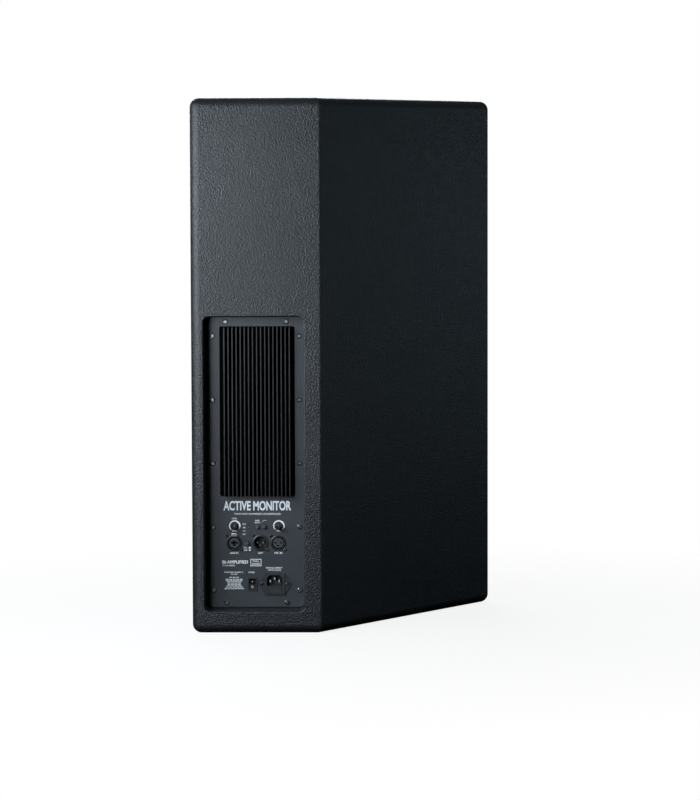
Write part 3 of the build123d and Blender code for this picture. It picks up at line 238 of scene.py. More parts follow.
def powder_coat(name, colour, grain=1500, height=0.00012, rough=(0.36, 0.46)):
    """Baked powder: a fine even orange peel."""
    f = Finish(name)
    f.colour(f.blend(f.noise(25, 5.0), dimmed(colour, 0.93), dimmed(colour, 1.07)))
    f.roughness(f.ranged(f.noise(grain / 4, 3.0), *rough))
    f.bump((f.noise(grain, 3.0), height))
    return f.material


def bare_plywood(name):
    f = Finish(name)
    grain = f.noise(55, 8.0, stretch=(1, 9, 9), rough=0.65)
    f.colour(f.blend(grain, (0.42, 0.29, 0.16), (0.62, 0.47, 0.3), 0.3, 0.7))
    f.roughness(f.ranged(grain, 0.6, 0.78))
    f.bump((grain, 0.0002))
    return f.material


def open_foam(name, colour, pore=700):
    """Reticulated foam: dark pores between fine struts, the pores' darkness being painted shade in their
    hollows.
    """
    f = Finish(name)
    pores = f.cells(pore, "F1")
    # Painted shade: the colour is darker away from the cell centres, standing for shade in the pores.
    f.colour(f.blend(pores, dimmed(colour, 1.5), dimmed(colour, 0.35), 0.25, 0.6))
    f.roughness(f.ranged(f.noise(pore / 3), 0.85, 1.0))
    f.bump((pores, 0.0012), (f.noise(pore * 2, 2.0), 0.0004))
    f.set(specular_ior_level=0.15)
    return f.material


def rubber(name, colour, grain=1600):
    f = Finish(name)
    f.colour(f.blend(f.noise(40, 5.0), dimmed(colour, 0.85), dimmed(colour, 1.15)))
    f.roughness(f.ranged(f.noise(grain / 5, 3.0), 0.55, 0.72))
    f.bump((f.cells(grain), 0.00012))
    f.set(specular_ior_level=0.4)
    return f.material


def woven(name, colour, pitch=900):
    """Doped cloth: warp and weft as two crossed sets of threads."""
    f = Finish(name)
    warp = f.stripes(pitch, "X")
    weft = f.stripes(pitch, "Z")
    cloth = f.sum(warp, weft, "MAXIMUM")
    f.colour(f.blend(cloth, dimmed(colour, 0.5), dimmed(colour, 1.2), 0.3, 0.9))
    f.roughness(f.ranged(f.noise(300, 3.0), 0.6, 0.8))
    f.bump((cloth, 0.00025), (f.noise(2000, 2.0), 0.00005))
    return f.material


def pressed_paper(name):
    f = Finish(name)
    fibres = f.noise(320, 8.0, stretch=(1, 1, 2.5), rough=0.75)
    f.colour(f.blend(fibres, (0.018, 0.018, 0.019), (0.06, 0.058, 0.055), 0.35, 0.75))
    f.roughness(f.ranged(fibres, 0.75, 0.9))
    f.bump((fibres, 0.0004))
    return f.material


def copper_winding(name):
    f = Finish(name)
    turns = f.stripes(1400, "Y")
    f.colour(f.blend(turns, (0.3, 0.11, 0.05), (0.85, 0.42, 0.24), 0.1, 0.8))
    f.roughness(f.ranged(f.noise(300), 0.25, 0.4))
    f.bump((turns, 0.0002))
    f.set(metallic=1.0)
    return f.material


def steel(name, colour, rough=(0.26, 0.42), streak=(1, 1, 12), grain=260):
    """Plated or blackened steel with faint drawing lines and a cloudy plating."""
    f = Finish(name)
    lines = f.noise(grain, 4.0, stretch=streak)
    clouds = f.noise(45, 5.0)
    f.colour(f.blend(clouds, dimmed(colour, 0.8), dimmed(colour, 1.15)))
    f.roughness(f.ranged(f.sum(lines, clouds, "MULTIPLY"), *rough, 0.1, 0.4))
    f.bump((lines, 0.00006))
    f.set(metallic=1.0)
    return f.material


def ferrite(name):
    f = Finish(name)
    grit = f.noise(900, 6.0, rough=0.8)
    f.colour(f.blend(grit, (0.03, 0.031, 0.034), (0.1, 0.1, 0.105), 0.4, 0.75))
    f.roughness(f.ranged(grit, 0.5, 0.7))
    f.bump((grit, 0.0002))
    return f.material


def moulded(name, colour, grain=1800, height=0.00008, rough=(0.38, 0.5), specular=0.5):
    """Moulded plastic with a spark-eroded skin."""
    f = Finish(name)
    f.colour(f.blend(f.noise(60, 4.0), dimmed(colour, 0.88), dimmed(colour, 1.12)))
    f.roughness(f.ranged(f.noise(grain / 6, 4.0), *rough))
    f.bump((f.noise(grain, 4.0, rough=0.7), height))
    f.set(specular_ior_level=specular)
    return f.material


def anodised_fins(name):
    """Black anodised extrusion with faint lines along it; its colour is painted near black between the
    fins as painted shade, and lighter at the tips as an uneven painted highlight.
    """
    f = Finish(name)
    drawn = f.noise(900, 2.0, stretch=(1, 1, 0.004))
    # A noise that makes the painted highlight at the fin tips uneven.
    tip_sheen_mottle = f.ranged(f.noise(90, 6.0, rough=0.7), 0.75, 1.0, 0.4, 0.7)
    split = f.node("ShaderNodeSeparateXYZ")
    f.join(f.place, split.inputs[0])
    # Painted shade and painted highlight: the colour runs from near black at the fins' roots, shade
    # between the fins, to lighter at their tips, a highlight on them.
    height = f.ranged(split.outputs["Y"], 0.0, 1.0, PANEL_Y + 6 * MM, PANEL_Y + 14 * MM)
    f.colour(f.mixed(f.sum(height, tip_sheen_mottle, "MULTIPLY"), (0.0015, 0.0015, 0.0016), (0.05, 0.051, 0.052)))
    f.roughness(f.ranged(drawn, 0.4, 0.5))
    f.bump((drawn, 0.00006))
    f.set(metallic=1.0)
    return f.material


def circuit_board(name):
    f = Finish(name)
    traces = f.node("ShaderNodeTexBrick")
    traces.inputs["Scale"].default_value = 130
    traces.inputs["Mortar Size"].default_value = 0.035
    traces.inputs["Color1"].default_value = (0.012, 0.1, 0.04, 1)
    traces.inputs["Color2"].default_value = (0.014, 0.13, 0.05, 1)
    traces.inputs["Mortar"].default_value = (0.05, 0.3, 0.12, 1)
    swizzle = f.node("ShaderNodeMapping")
    swizzle.inputs["Rotation"].default_value = (pi / 2, 0, 0)
    f.join(f.place, swizzle.inputs["Vector"])
    f.join(swizzle.outputs["Vector"], traces.inputs["Vector"])
    f.colour(traces.outputs["Color"])
    f.roughness(f.ranged(f.noise(200), 0.25, 0.4))
    f.bump((traces.outputs["Fac"], 0.0001))
    return f.material


def milky_lens(name):
    f = Finish(name)
    f.colour(f.blend(f.noise(500, 3.0), (0.03, 0.035, 0.036), (0.05, 0.056, 0.057)))
    f.roughness(f.ranged(f.noise(900), 0.12, 0.22))
    f.set(specular_ior_level=0.6)
    return f.material


def glass_tube(name):
    f = Finish(name)
    f.colour(f.blend(f.noise(300), (0.85, 0.9, 0.9), (0.95, 0.97, 0.97)))
    f.roughness(f.ranged(f.noise(400), 0.03, 0.08))
    f.set(transmission_weight=0.85)
    return f.material


def white_ink(name, colour=(0.9, 0.92, 0.94)):
    """Screen print: slightly thin in places, so that it isn't one flat white."""
    f = Finish(name)
    thin = f.noise(1500, 4.0, rough=0.7)
    f.colour(f.blend(thin, dimmed(colour, 0.9), colour, 0.3, 0.6))
    f.roughness(f.ranged(f.noise(700), 0.45, 0.6))
    f.bump((thin, 0.00003))
    return f.material


finishes = {
    "cabinet_paint": pebbled_paint(),
    "baffle_paint": matt_paint("baffle_paint", (0.016, 0.016, 0.017)),
    "raw_plywood": bare_plywood("raw_plywood"),
    "grille_paint": powder_coat("grille_paint", (0.018, 0.018, 0.019), 1100, 0.0002, (0.42, 0.55)),
    "grille_foam": open_foam("grille_foam", (0.012, 0.012, 0.012)),
    "lining_foam": open_foam("lining_foam", (0.07, 0.07, 0.075), 480),
    "cast_basket": matt_paint("cast_basket", (0.03, 0.03, 0.032)),
    "gasket_rubber": rubber("gasket_rubber", (0.03, 0.028, 0.026), 700),
    "surround_cloth": woven("surround_cloth", (0.035, 0.035, 0.036)),
    "spider_cloth": woven("spider_cloth", (0.5, 0.34, 0.16)),
    "cone_paper": pressed_paper("cone_paper"),
    "voice_coil": copper_winding("voice_coil"),
    "motor_steel": steel("motor_steel", (0.62, 0.62, 0.6)),
    "ferrite": ferrite("ferrite"),
    "horn_plastic": moulded("horn_plastic", (0.016, 0.016, 0.017), 900, 0.00015, (0.42, 0.55)),
    "hf_motor": steel("hf_motor", (0.08, 0.08, 0.085)),
    "hf_cover": moulded("hf_cover", (0.03, 0.03, 0.032)),
    "titanium": steel("titanium", (0.55, 0.54, 0.52), (0.2, 0.34), (1, 1, 1), 500),
    "black_screws": steel("black_screws", (0.07, 0.072, 0.076), (0.24, 0.4)),
    "socket_plastic": moulded("socket_plastic", (0.02, 0.02, 0.021), 1200, 0.00012),
    "handle_plastic": moulded("handle_plastic", (0.016, 0.0165, 0.017), 1300, 0.00014, (0.4, 0.52)),
    "handle_grip": rubber("handle_grip", (0.018, 0.018, 0.019)),
    "panel_paint": powder_coat("panel_paint", (0.046, 0.051, 0.058), 1500, 0.0001, (0.34, 0.42)),
    "heat_sink": anodised_fins("heat_sink"),
    "chassis_steel": steel("chassis_steel", (0.62, 0.63, 0.64)),
    "circuit_board": circuit_board("circuit_board"),
    "lead_jacket": rubber("lead_jacket", (0.02, 0.02, 0.02)),
    "knob_plastic": moulded("knob_plastic", (0.014, 0.0145, 0.015), 1500, 0.00005, (0.28, 0.4)),
    "button_plastic": moulded("button_plastic", (0.075, 0.08, 0.087), 1700, 0.00004, (0.3, 0.42)),
    "led_lens": milky_lens("led_lens"),
    "connector_plastic": moulded("connector_plastic", (0.022, 0.024, 0.026), 1500, 0.00006, (0.34, 0.44)),
    "release_metal": steel("release_metal", (0.7, 0.7, 0.68), (0.22, 0.36), (12, 1, 1), 500),
    "inlet_plastic": moulded("inlet_plastic", (0.034, 0.037, 0.041), 1500, 0.00006, (0.34, 0.44)),
    "contact_metal": steel("contact_metal", (0.9, 0.86, 0.78), (0.4, 0.55), (1, 1, 1), 900),
    "fuse_glass": glass_tube("fuse_glass"),
    "rocker_plastic": moulded("rocker_plastic", (0.014, 0.014, 0.015), 1500, 0.00004, (0.24, 0.36)),
}
ink = white_ink("white_print")
own_finishes = {
    "amp_panel_screws": steel("panel_screw_zinc", (0.34, 0.35, 0.36), (0.24, 0.36), (1, 1, 1), 600),
    "socket_screws": steel("socket_screw_zinc", (0.2, 0.205, 0.21), (0.2, 0.34), (1, 1, 1), 600),
    "connector_inserts": moulded("socket_insert", (0.05, 0.052, 0.055), 1500, 0.00006, (0.4, 0.5)),
}

for subpart in frame["record"]["subparts"]:
    node = frame["nodes"][subpart["node"]]
    finish = own_finishes.get(subpart["node"], finishes[subpart["material_slot"]])
    node.data.materials.clear()
    node.data.materials.append(finish)


# ---------------------------------------------------------------- mesh helpers
def piece_from(bm, name, body, material, smooth=True):
    """Makes an object of a bmesh in row-frame metres and lets it ride on a CAD body."""
    bmesh.ops.recalc_face_normals(bm, faces=bm.faces)
    mesh = bpy.data.meshes.new(name)
    bm.to_mesh(mesh)
    bm.free()
    for polygon in mesh.polygons:
        polygon.use_smooth = smooth
    mesh.materials.append(material)
    made = bpy.data.objects.new(name, mesh)
    bpy.context.scene.collection.objects.link(made)
    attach(made, body)
    return made


def grid_quads(bm, rows, closed=False):
    """Joins rows of vertices, all of one length, with quads. closed joins each row's ends too."""
    for first, second in zip(rows, rows[1:]):
        count = len(first)
        for i in range(count if closed else count - 1):
            j = (i + 1) % count
            bm.faces.new((first[i], first[j], second[j], second[i]))


def sharpen(made, degrees=35):
    """Keeps edges sharper than an angle crisp under smooth shading."""
    limit = radians(degrees)
    bm = bmesh.new()
    bm.from_mesh(made.data)
    for edge in bm.edges:
        if len(edge.link_faces) == 2 and edge.calc_face_angle(0) > limit:
            edge.smooth = False
    bm.to_mesh(made.data)
    bm.free()


# ---------------------------------------------------------------- perforated grille
HOLE_PITCH = 9.4 * MM
HOLE_SHARE = 0.84  # hole width over pitch
GRILLE_T = 1.2 * MM
GRILLE_BEND = 3.0 * MM
GRILLE_BORDER = 11.0 * MM
hex_corners = [(cos(radians(30 + 60 * k)), sin(radians(30 + 60 * k))) for k in range(6)]


def perforated_grille():
    """One sheet with staggered six-sided holes, bent back all round.

    The return at low x follows the slanted side.
    """
    low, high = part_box("grille")
    bm = bmesh.new()
    shared = {}

    def corner(x, z):
        key = (round(x * 1e5), round(z * 1e5))
        if key not in shared:
            shared[key] = bm.verts.new((x, low.y, z))
        return shared[key]

    radius = HOLE_PITCH / sqrt(3)
    field_low = (low.x + GRILLE_BORDER, low.z + GRILLE_BORDER)
    field_wide = high.x - low.x - 2 * GRILLE_BORDER
    field_tall = high.z - low.z - 2 * GRILLE_BORDER
    columns = int(field_wide / HOLE_PITCH - 0.5)
    rows = int((field_tall - radius / 2) / (1.5 * radius))
    start_x = field_low[0] + (field_wide - (columns + 0.5) * HOLE_PITCH) / 2 + HOLE_PITCH / 2
    start_z = field_low[1] + (field_tall - (rows * 1.5 + 0.5) * radius) / 2 + radius
    for row in range(rows):
        for column in range(columns):
            x = start_x + (column + 0.5 * (row % 2)) * HOLE_PITCH
            z = start_z + row * 1.5 * radius
            rim = [corner(x + radius * c, z + radius * s) for c, s in hex_corners]
            hole = [bm.verts.new((x + HOLE_SHARE * radius * c, low.y, z + HOLE_SHARE * radius * s))
                    for c, s in hex_corners]
            grid_quads(bm, [rim, hole], closed=True)

    outline = field_outline(bm, set(shared.values()))
    edge = GRILLE_BEND
    frames = [
        (low.x + edge * 1.4, high.x - edge, low.z + edge, high.z - edge, 0.0),
        (low.x + edge * 0.5, high.x - edge * 0.3, low.z + edge * 0.3, high.z - edge * 0.3, edge * 0.3),
        (low.x + edge * tan(SLANT), high.x, low.z, high.z, edge),
        (low.x + (high.y - low.y) * tan(SLANT), high.x, low.z, high.z, high.y - low.y),
    ]
    corners = corner_indexes(outline)
    ring = outline
    for x0, x1, z0, z1, deep in frames:
        places = projected(outline, corners, x0, x1, z0, z1, low.y + deep)
        following = [bm.verts.new(place) for place in places]
        grid_quads(bm, [ring, following], closed=True)
        ring = following
    made = piece_from(bm, "perforated_grille", "cabinet", finishes["grille_paint"])
    thick = made.modifiers.new("sheet thickness", "SOLIDIFY")
    thick.thickness = GRILLE_T
    thick.offset = -1.0
    keep_inside(made)
    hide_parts("grille")


def keep_inside(made):
    """Turns the sheet's faces so that its thickness goes inwards, away from the front."""
    front = max(made.data.polygons, key=lambda p: p.area if abs(p.normal.y) > 0.9 else 0)
    if front.normal.y > 0:
        made.data.flip_normals()


def field_outline(bm, rim_corners):
    """The closed loop of vertices round the whole field of holes."""
    border = [e for e in bm.edges if len(e.link_faces) == 1 and all(v in rim_corners for v in e.verts)]
    neighbours = {}
    for e in border:
        for v in e.verts:
            neighbours.setdefault(v, []).append(e.other_vert(v))
    start = min(neighbours, key=lambda v: (v.co.z, v.co.x))
    loop = [start]
    before, here = None, start
    while True:
        following = next(v for v in neighbours[here] if v is not before)
        if following is start:
            return loop
        loop.append(following)
        before, here = here, following


def corner_indexes(loop):
    """Where in the loop its four corners are: low-low, high-low, high-high and low-high in x and z."""
    def furthest(sx, sz):
        return max(range(len(loop)), key=lambda i: sx * loop[i].co.x + sz * loop[i].co.z)
    return [furthest(-1, -1), furthest(1, -1), furthest(1, 1), furthest(-1, 1)]


def projected(loop, corners, x0, x1, z0, z1, y):
    """The loop's vertices moved straight out to a rectangle's sides, corner to corner."""
    count = len(loop)
    ends = [(x0, z0), (x1, z0), (x1, z1), (x0, z1)]
    forward = (corners[1] - corners[0]) % count < (corners[3] - corners[0]) % count
    order = [0, 1, 2, 3] if forward else [0, 3, 2, 1]
    places = [None] * count
    for side in range(4):
        a, b = order[side], order[(side + 1) % 4]
        first, last = corners[a], corners[b]
        steps = (last - first) % count
        along_x = ends[a][1] == ends[b][1]
        from_value = loop[first].co.x if along_x else loop[first].co.z
        to_value = loop[last].co.x if along_x else loop[last].co.z
        for step in range(steps + 1):
            v = loop[(first + step) % count]
            value = v.co.x if along_x else v.co.z
            share = min(1.0, max(0.0, (value - from_value) / (to_value - from_value)))
            x = ends[a][0] + (ends[b][0] - ends[a][0]) * share
            z = ends[a][1] + (ends[b][1] - ends[a][1]) * share
            places[(first + step) % count] = (x, y, z)
    return places


perforated_grille()


# ---------------------------------------------------------------- foam
FOAM_COLUMNS, FOAM_ROWS = 56, 96
FOAM_PUFF = 0.0006
FOAM_PUFF_SCALE = 46
FOAM_SUNK = 0.0007
FOAM_EDGE_CELLS = 4


def wavy(x, z, scale, seed=0.0):
    """A smooth repeatable wave field from 0 to 1, for foam that isn't dead flat."""
    value = sin(x * scale + seed) * sin(z * scale * 0.83 + 1.7 * seed)
    value += 0.5 * sin(x * scale * 2.3 + 2.1 + seed) * sin(z * scale * 1.9 + 0.4)
    return 0.5 + value / 3


def foam_sheet():
    """The thin foam behind the grille: it follows the slanted side, and puffs a little off its edge."""
    low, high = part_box("grille_foam")
    columns, rows = FOAM_COLUMNS, FOAM_ROWS
    thick = high.y - low.y
    slope = tan(SLANT) * thick
    bm = bmesh.new()
    layers = []
    for deep in (0.0, 1.0):
        grid = []
        for r in range(rows + 1):
            z = low.z + (high.z - low.z) * r / rows
            line = []
            for c in range(columns + 1):
                x0 = low.x + slope * deep
                x = x0 + (high.x - x0) * c / columns
                inner = min(c, columns - c, r, rows - r)
                puff = FOAM_PUFF * wavy(x, z, FOAM_PUFF_SCALE) * min(1.0, inner / FOAM_EDGE_CELLS)
                y = low.y + FOAM_SUNK - puff if deep == 0 else high.y
                line.append(bm.verts.new((x, y, z)))
            grid.append(line)
        layers.append(grid)
        grid_quads(bm, grid)
    front, back = layers
    rim = [
        (front[0], back[0]),
        (front[-1], back[-1]),
        ([line[0] for line in front], [line[0] for line in back]),
        ([line[-1] for line in front], [line[-1] for line in back]),
    ]
    for first, second in rim:
        grid_quads(bm, [first, second])
    made = piece_from(bm, "grille_foam_sheet", "cabinet", finishes["grille_foam"])
    sharpen(made)
    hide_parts("grille_foam")


foam_sheet()


PAD_VALLEY, PAD_PEAK = 0.35, 0.63  # shares of the pad's thickness
SIDE_PAD_Y = (-0.125, 0.105)
SIDE_PAD_TALL = 0.34
SIDE_PAD_THICK = 0.014
SIDE_PAD_PEAKS = (8, 12)
TOP_PAD_CORNER = (0.05, -0.05)
TOP_PAD_SIZE = (0.14, 0.18)
TOP_PAD_THICK = 0.02
TOP_PAD_PEAKS = (5, 6)


def egg_crate(bm, corner, along, across, out, peaks, step=4):
    """A convoluted foam pad: a flat back at corner, spanned by along and across.

    Its soft peaks stand towards out.
    """
    columns, rows = peaks[0] * step, peaks[1] * step
    base, tips = [], []
    for r in range(rows + 1):
        back_line, tip_line = [], []
        for c in range(columns + 1):
            u, w = c / columns, r / rows
            place = corner + along * u + across * w
            wave = 0.5 - 0.5 * cos(2 * pi * u * peaks[0]) * cos(2 * pi * w * peaks[1])
            back_line.append(bm.verts.new(place))
            tip_line.append(bm.verts.new(place + out * (PAD_VALLEY + PAD_PEAK * wave)))
        base.append(back_line)
        tips.append(tip_line)
    grid_quads(bm, base)
    grid_quads(bm, tips)
    for first, second in (
        (base[0], tips[0]),
        (base[-1], tips[-1]),
        ([line[0] for line in base], [line[0] for line in tips]),
        ([line[-1] for line in base], [line[-1] for line in tips]),
    ):
        grid_quads(bm, [first, second])


def lining_pads():
    """Convoluted lining on the straight side and under the top, inside the cabinet."""
    low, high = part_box("damping_foam")
    side_low_y, side_high_y = SIDE_PAD_Y
    side_low_z, side_high_z = low.z, low.z + SIDE_PAD_TALL
    bm = bmesh.new()
    egg_crate(
        bm,
        Vector((high.x, side_low_y, side_low_z)),
        Vector((0, side_high_y - side_low_y, 0)),
        Vector((0, 0, side_high_z - side_low_z)),
        Vector((-SIDE_PAD_THICK, 0, 0)),
        SIDE_PAD_PEAKS,
    )
    egg_crate(
        bm,
        Vector((*TOP_PAD_CORNER, high.z)),
        Vector((TOP_PAD_SIZE[0], 0, 0)),
        Vector((0, TOP_PAD_SIZE[1], 0)),
        Vector((0, 0, -TOP_PAD_THICK)),
        TOP_PAD_PEAKS,
    )
    made = piece_from(bm, "lining_pads", "cabinet", finishes["lining_foam"])
    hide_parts("damping_foam")


lining_pads()

# ---------------------------------------------------------------- handle grip
GRIP_RIBS = 22
GRIP_SEGMENTS = 40
GRIP_RIB_SPAN = (0.16, 0.84)  # shares of the bar's length
GRIP_FLATTER = 0.03


def handle_grip():
    """A rubber grip moulded round the bar, with ribs along its middle and plain ends."""
    low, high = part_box("handle_bar")
    centre_x, centre_z = (low.x + high.x) / 2, (low.z + high.z) / 2
    radius = (high.x - low.x) / 2
    length = high.y - low.y
    rib_low, rib_high = GRIP_RIB_SPAN
    stations = [(0.0, 0.86), (0.004, 0.9), (0.12, 0.9), (0.14, 0.985), (rib_low - 0.005, 0.985)]
    pitch = (rib_high - rib_low) / GRIP_RIBS
    for i in range(GRIP_RIBS):
        here = rib_low + i * pitch
        stations += [
            (here + 0.1 * pitch, 0.99),
            (here + 0.4 * pitch, 0.995),
            (here + 0.52 * pitch, 0.945),
            (here + 0.86 * pitch, 0.945),
        ]
    stations += [(rib_high + 0.005, 0.985), (0.86, 0.985), (0.88, 0.9), (0.996, 0.9), (1.0, 0.86)]
    bm = bmesh.new()
    rings = []
    for along, share in stations:
        ring = []
        for k in range(GRIP_SEGMENTS):
            turn = 2 * pi * k / GRIP_SEGMENTS
            # the side that the fingers hold is slightly flatter
            squeeze = 1.0 - GRIP_FLATTER * max(0.0, cos(turn))
            r = radius * share * squeeze
            x, z = centre_x + r * cos(turn), centre_z + r * sin(turn)
            ring.append(bm.verts.new((x, low.y + along * length, z)))
        rings.append(ring)
    grid_quads(bm, rings, closed=True)
    bm.faces.new(rings[0])
    bm.faces.new(rings[-1])
    made = piece_from(bm, "handle_grip", "cabinet", finishes["handle_grip"])
    sharpen(made, 50)
    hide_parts("handle_bar")


handle_grip()

# ---------------------------------------------------------------- print on the amplifier panel
INK_T = 0.05 * MM
INK_BACK = 0.01 * MM


class Print:
    """White print on a plane that faces +Y.

    u runs right as seen from behind and v runs up, both in millimetres.
    """

    def __init__(self, origin=(PANEL_X, PANEL_Y, PANEL_Z)):
        self.bm = bmesh.new()
        self.origin = Vector(origin)

    def place(self, u, v, lift=0.0):
        return self.origin + Vector((-u * MM, lift, v * MM))

    def strip(self, left, right):
        """A raised band between two lines of (u, v) points."""
        rings = []
        for (lu, lv), (ru, rv) in zip(left, right):
            rings.append([
                self.bm.verts.new(self.place(lu, lv, 0.01 * MM)),
                self.bm.verts.new(self.place(lu, lv, INK_T)),
                self.bm.verts.new(self.place(ru, rv, INK_T)),
                self.bm.verts.new(self.place(ru, rv, 0.01 * MM)),
            ])
        grid_quads(self.bm, rings, closed=True)
        self.bm.faces.new(rings[0])
        self.bm.faces.new(rings[-1])

    def bar(self, u, v, wide, tall):
        left = [(u - wide / 2, v - tall / 2), (u + wide / 2, v - tall / 2)]
        right = [(u - wide / 2, v + tall / 2), (u + wide / 2, v + tall / 2)]
        self.strip(left, right)

    def frame(self, u, v, wide, tall, line):
        self.bar(u, v + (tall - line) / 2, wide, line)
        self.bar(u, v - (tall - line) / 2, wide, line)
        self.bar(u - (wide - line) / 2, v, line, tall - 2 * line)
        self.bar(u + (wide - line) / 2, v, line, tall - 2 * line)

    def disc(self, u, v, radius, squash=1.0):
        steps = 12
        turns = [radians(-90 + 180 * (i + 0.02) / (steps + 0.04)) for i in range(steps + 1)]
        left = [(u - radius * cos(a), v + radius * squash * sin(a)) for a in turns]
        right = [(u + radius * cos(a), v + radius * squash * sin(a)) for a in turns]
        self.strip(left, right)

    def crescent(self, u, v, inner, start, end, thin, thick):
        """A dial mark that widens clockwise, from start degrees to end degrees, 0 being straight up."""
        steps = 40
        inside, outside = [], []
        for i in range(steps + 1):
            share = i / steps
            turn = radians(start + (end - start) * share)
            swell = sin(min(1.0, share * 1.35) * pi / 2)
            taper = min(1.0, (1 - share) * 5 + 0.25)
            width = thin + (thick - thin) * swell * taper
            inside.append((u + inner * sin(turn), v + inner * cos(turn)))
            outside.append((u + (inner + width) * sin(turn), v + (inner + width) * cos(turn)))
        self.strip(inside, outside)

    def curve(self, points, line):
        """A thin line through (u, v) points."""
        half = line / 2
        left, right = [], []
        for i, (u, v) in enumerate(points):
            before, after = points[max(0, i - 1)], points[min(len(points) - 1, i + 1)]
            du, dv = after[0] - before[0], after[1] - before[1]
            size = sqrt(du * du + dv * dv)
            left.append((u - dv / size * half, v + du / size * half))
            right.append((u + dv / size * half, v - du / size * half))
        self.strip(left, right)

    def words(self, text, u, v, wide, tall, bold=0.0, smooth=3):
        """Words centred on (u, v) and fitted to a width and a height."""
        data = bpy.data.curves.new("words", "FONT")
        data.body = text
        data.offset = bold
        data.extrude = 0.02
        data.resolution_u = smooth
        holder = bpy.data.objects.new("words", data)
        bpy.context.scene.collection.objects.link(holder)
        bpy.context.view_layer.update()
        ready = holder.evaluated_get(bpy.context.evaluated_depsgraph_get())
        mesh = bpy.data.meshes.new_from_object(ready)
        xs = [p.co.x for p in mesh.vertices]
        ys = [p.co.y for p in mesh.vertices]
        mid_x, mid_y = (min(xs) + max(xs)) / 2, (min(ys) + max(ys)) / 2
        scale_x, scale_y = wide / (max(xs) - min(xs)), tall / (max(ys) - min(ys))
        for p in mesh.vertices:
            lift = INK_T if p.co.z > 0 else INK_BACK
            p.co = self.place(u + (p.co.x - mid_x) * scale_x, v + (p.co.y - mid_y) * scale_y, lift)
        self.bm.from_mesh(mesh)
        bpy.data.objects.remove(holder)
        bpy.data.meshes.remove(mesh)
        bpy.data.curves.remove(data)

    def done(self, name, body="cabinet"):
        bmesh.ops.remove_doubles(self.bm, verts=self.bm.verts, dist=2e-6)
        return piece_from(self.bm, name, body, ink, smooth=False)


KNOB_U, KNOB_V = 34.5, -100.0
# Plain bars that stand for a block of small text: each row's width and its v.
NOTE_ROWS = (
    (15.0, -180.6), (27.0, -183.6), (26.0, -185.6), (23.0, -187.7), (21.0, -189.8),
    (20.6, -191.9), (23.0, -194.0), (27.0, -196.1), (31.0, -198.6),
)
NOTE_U = -35.6
NOTE_WORD_WIDE, NOTE_GAP, NOTE_BAR_TALL = 5.5, 0.8, 1.1


def print_title():
    p = Print()
    p.words("ACTIVE MONITOR", 1.2, -68.0, 106.0, 15.1, bold=0.03, smooth=6)
    p.words("TWO WAY POWERED LOUDSPEAKER", 1.5, -80.9, 73.4, 2.7, bold=0.02)
    p.done("title_print")


def print_dials():
    p = Print()
    for side in (-1, 1):
        p.crescent(side * KNOB_U, KNOB_V, 7.0, -138, 138, 0.9, 2.6)
    p.words("LEVEL", -KNOB_U, KNOB_V + 12.0, 8.4, 2.4, bold=0.03)
    p.words("LINE", -KNOB_U, KNOB_V - 7.4, 7.0, 2.6, bold=0.03)
    p.words("MIC", KNOB_U, KNOB_V - 7.4, 6.0, 2.6, bold=0.03)
    p.done("dial_print")


def print_controls():
    p = Print()
    for v, text in zip((-97.0, -102.3, -107.6, -112.8), ("CLIP", "SIG", "ON", "HF")):
        p.words(text, -19.5, v, 5.6 if len(text) > 3 else 4.0, 2.1, bold=0.03)
    p.words("BASS", 1.3, -91.2, 6.4, 2.2, bold=0.03)
    p.words("BOOST", 1.3, -94.5, 7.8, 2.2, bold=0.03)
    rise = [(8.2 + 3.6 * i / 8, -94.4 + 3.4 * sin(i / 8 * pi / 2)) for i in range(9)]
    p.curve(rise + [(13.6, -91.0), (15.7, -91.0)], 0.5)
    p.words("FLAT", -17.2, -134.2, 5.2, 2.0, bold=0.03)
    p.words("DEEP", -17.2, -137.9, 5.2, 2.0, bold=0.03)
    p.disc(-10.9, -134.0, 1.7)
    p.disc(-10.9, -137.9, 1.7, 0.6)
    p.words("LINE IN", -35.2, -142.3, 12.8, 3.0, bold=0.035)
    p.words("OUT", 6.0, -142.3, 7.8, 3.0, bold=0.035)
    p.words("MIC IN", 34.0, -142.3, 12.2, 3.0, bold=0.035)
    p.done("control_print")


def print_notes():
    p = Print()
    p.words("BI-AMPLIFIED", -33.8, -156.4, 40.4, 5.2, bold=0.035, smooth=4)
    p.words("STAGE SERIES", -44.0, -161.9, 19.6, 2.4, bold=0.02)
    p.frame(-1.3, -157.4, 17.2, 11.4, 1.1)
    p.words("FULL", -1.3, -155.1, 10.0, 2.9, bold=0.035)
    p.words("RANGE", -1.3, -159.6, 12.0, 2.9, bold=0.035)
    p.words("MAINS INPUT", 27.4, -165.8, 26.4, 2.5, bold=0.03)
    p.words("WITH FUSE", 27.4, -169.2, 20.6, 2.3, bold=0.03)
    p.words("POWER SUPPLY", -35.8, -172.7, 30.0, 2.3, bold=0.03)
    p.words("AC ONLY", -35.4, -175.8, 11.0, 2.1, bold=0.03)
    p.words("POWER", -8.1, -172.8, 9.8, 2.5, bold=0.03)
    for wide, v in NOTE_ROWS:
        words = max(2, round(wide / NOTE_WORD_WIDE))
        each = (wide - NOTE_GAP * (words - 1)) / words
        for i in range(words):
            u = NOTE_U - wide / 2 + each / 2 + i * (each + NOTE_GAP)
            p.bar(u, v, each, NOTE_BAR_TALL)
    p.done("notes_print")


print_title()
print_dials()
print_controls()
print_notes()


def knob_pointers():
    """White lines along the pointer grooves of the two level knobs."""
    for knob, body in (("line_level_knob", "line_level"), ("mic_level_knob", "mic_level")):
        low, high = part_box(knob)
        p = Print(((low.x + high.x) / 2, high.y - 0.6 * MM, (low.z + high.z) / 2))
        p.bar(0, 1.9, 0.7, 2.9)
        p.done(body + "_pointer", body)


knob_pointers()


MARK_SEGMENTS = 24
MARK_LIFT = 0.02 * MM


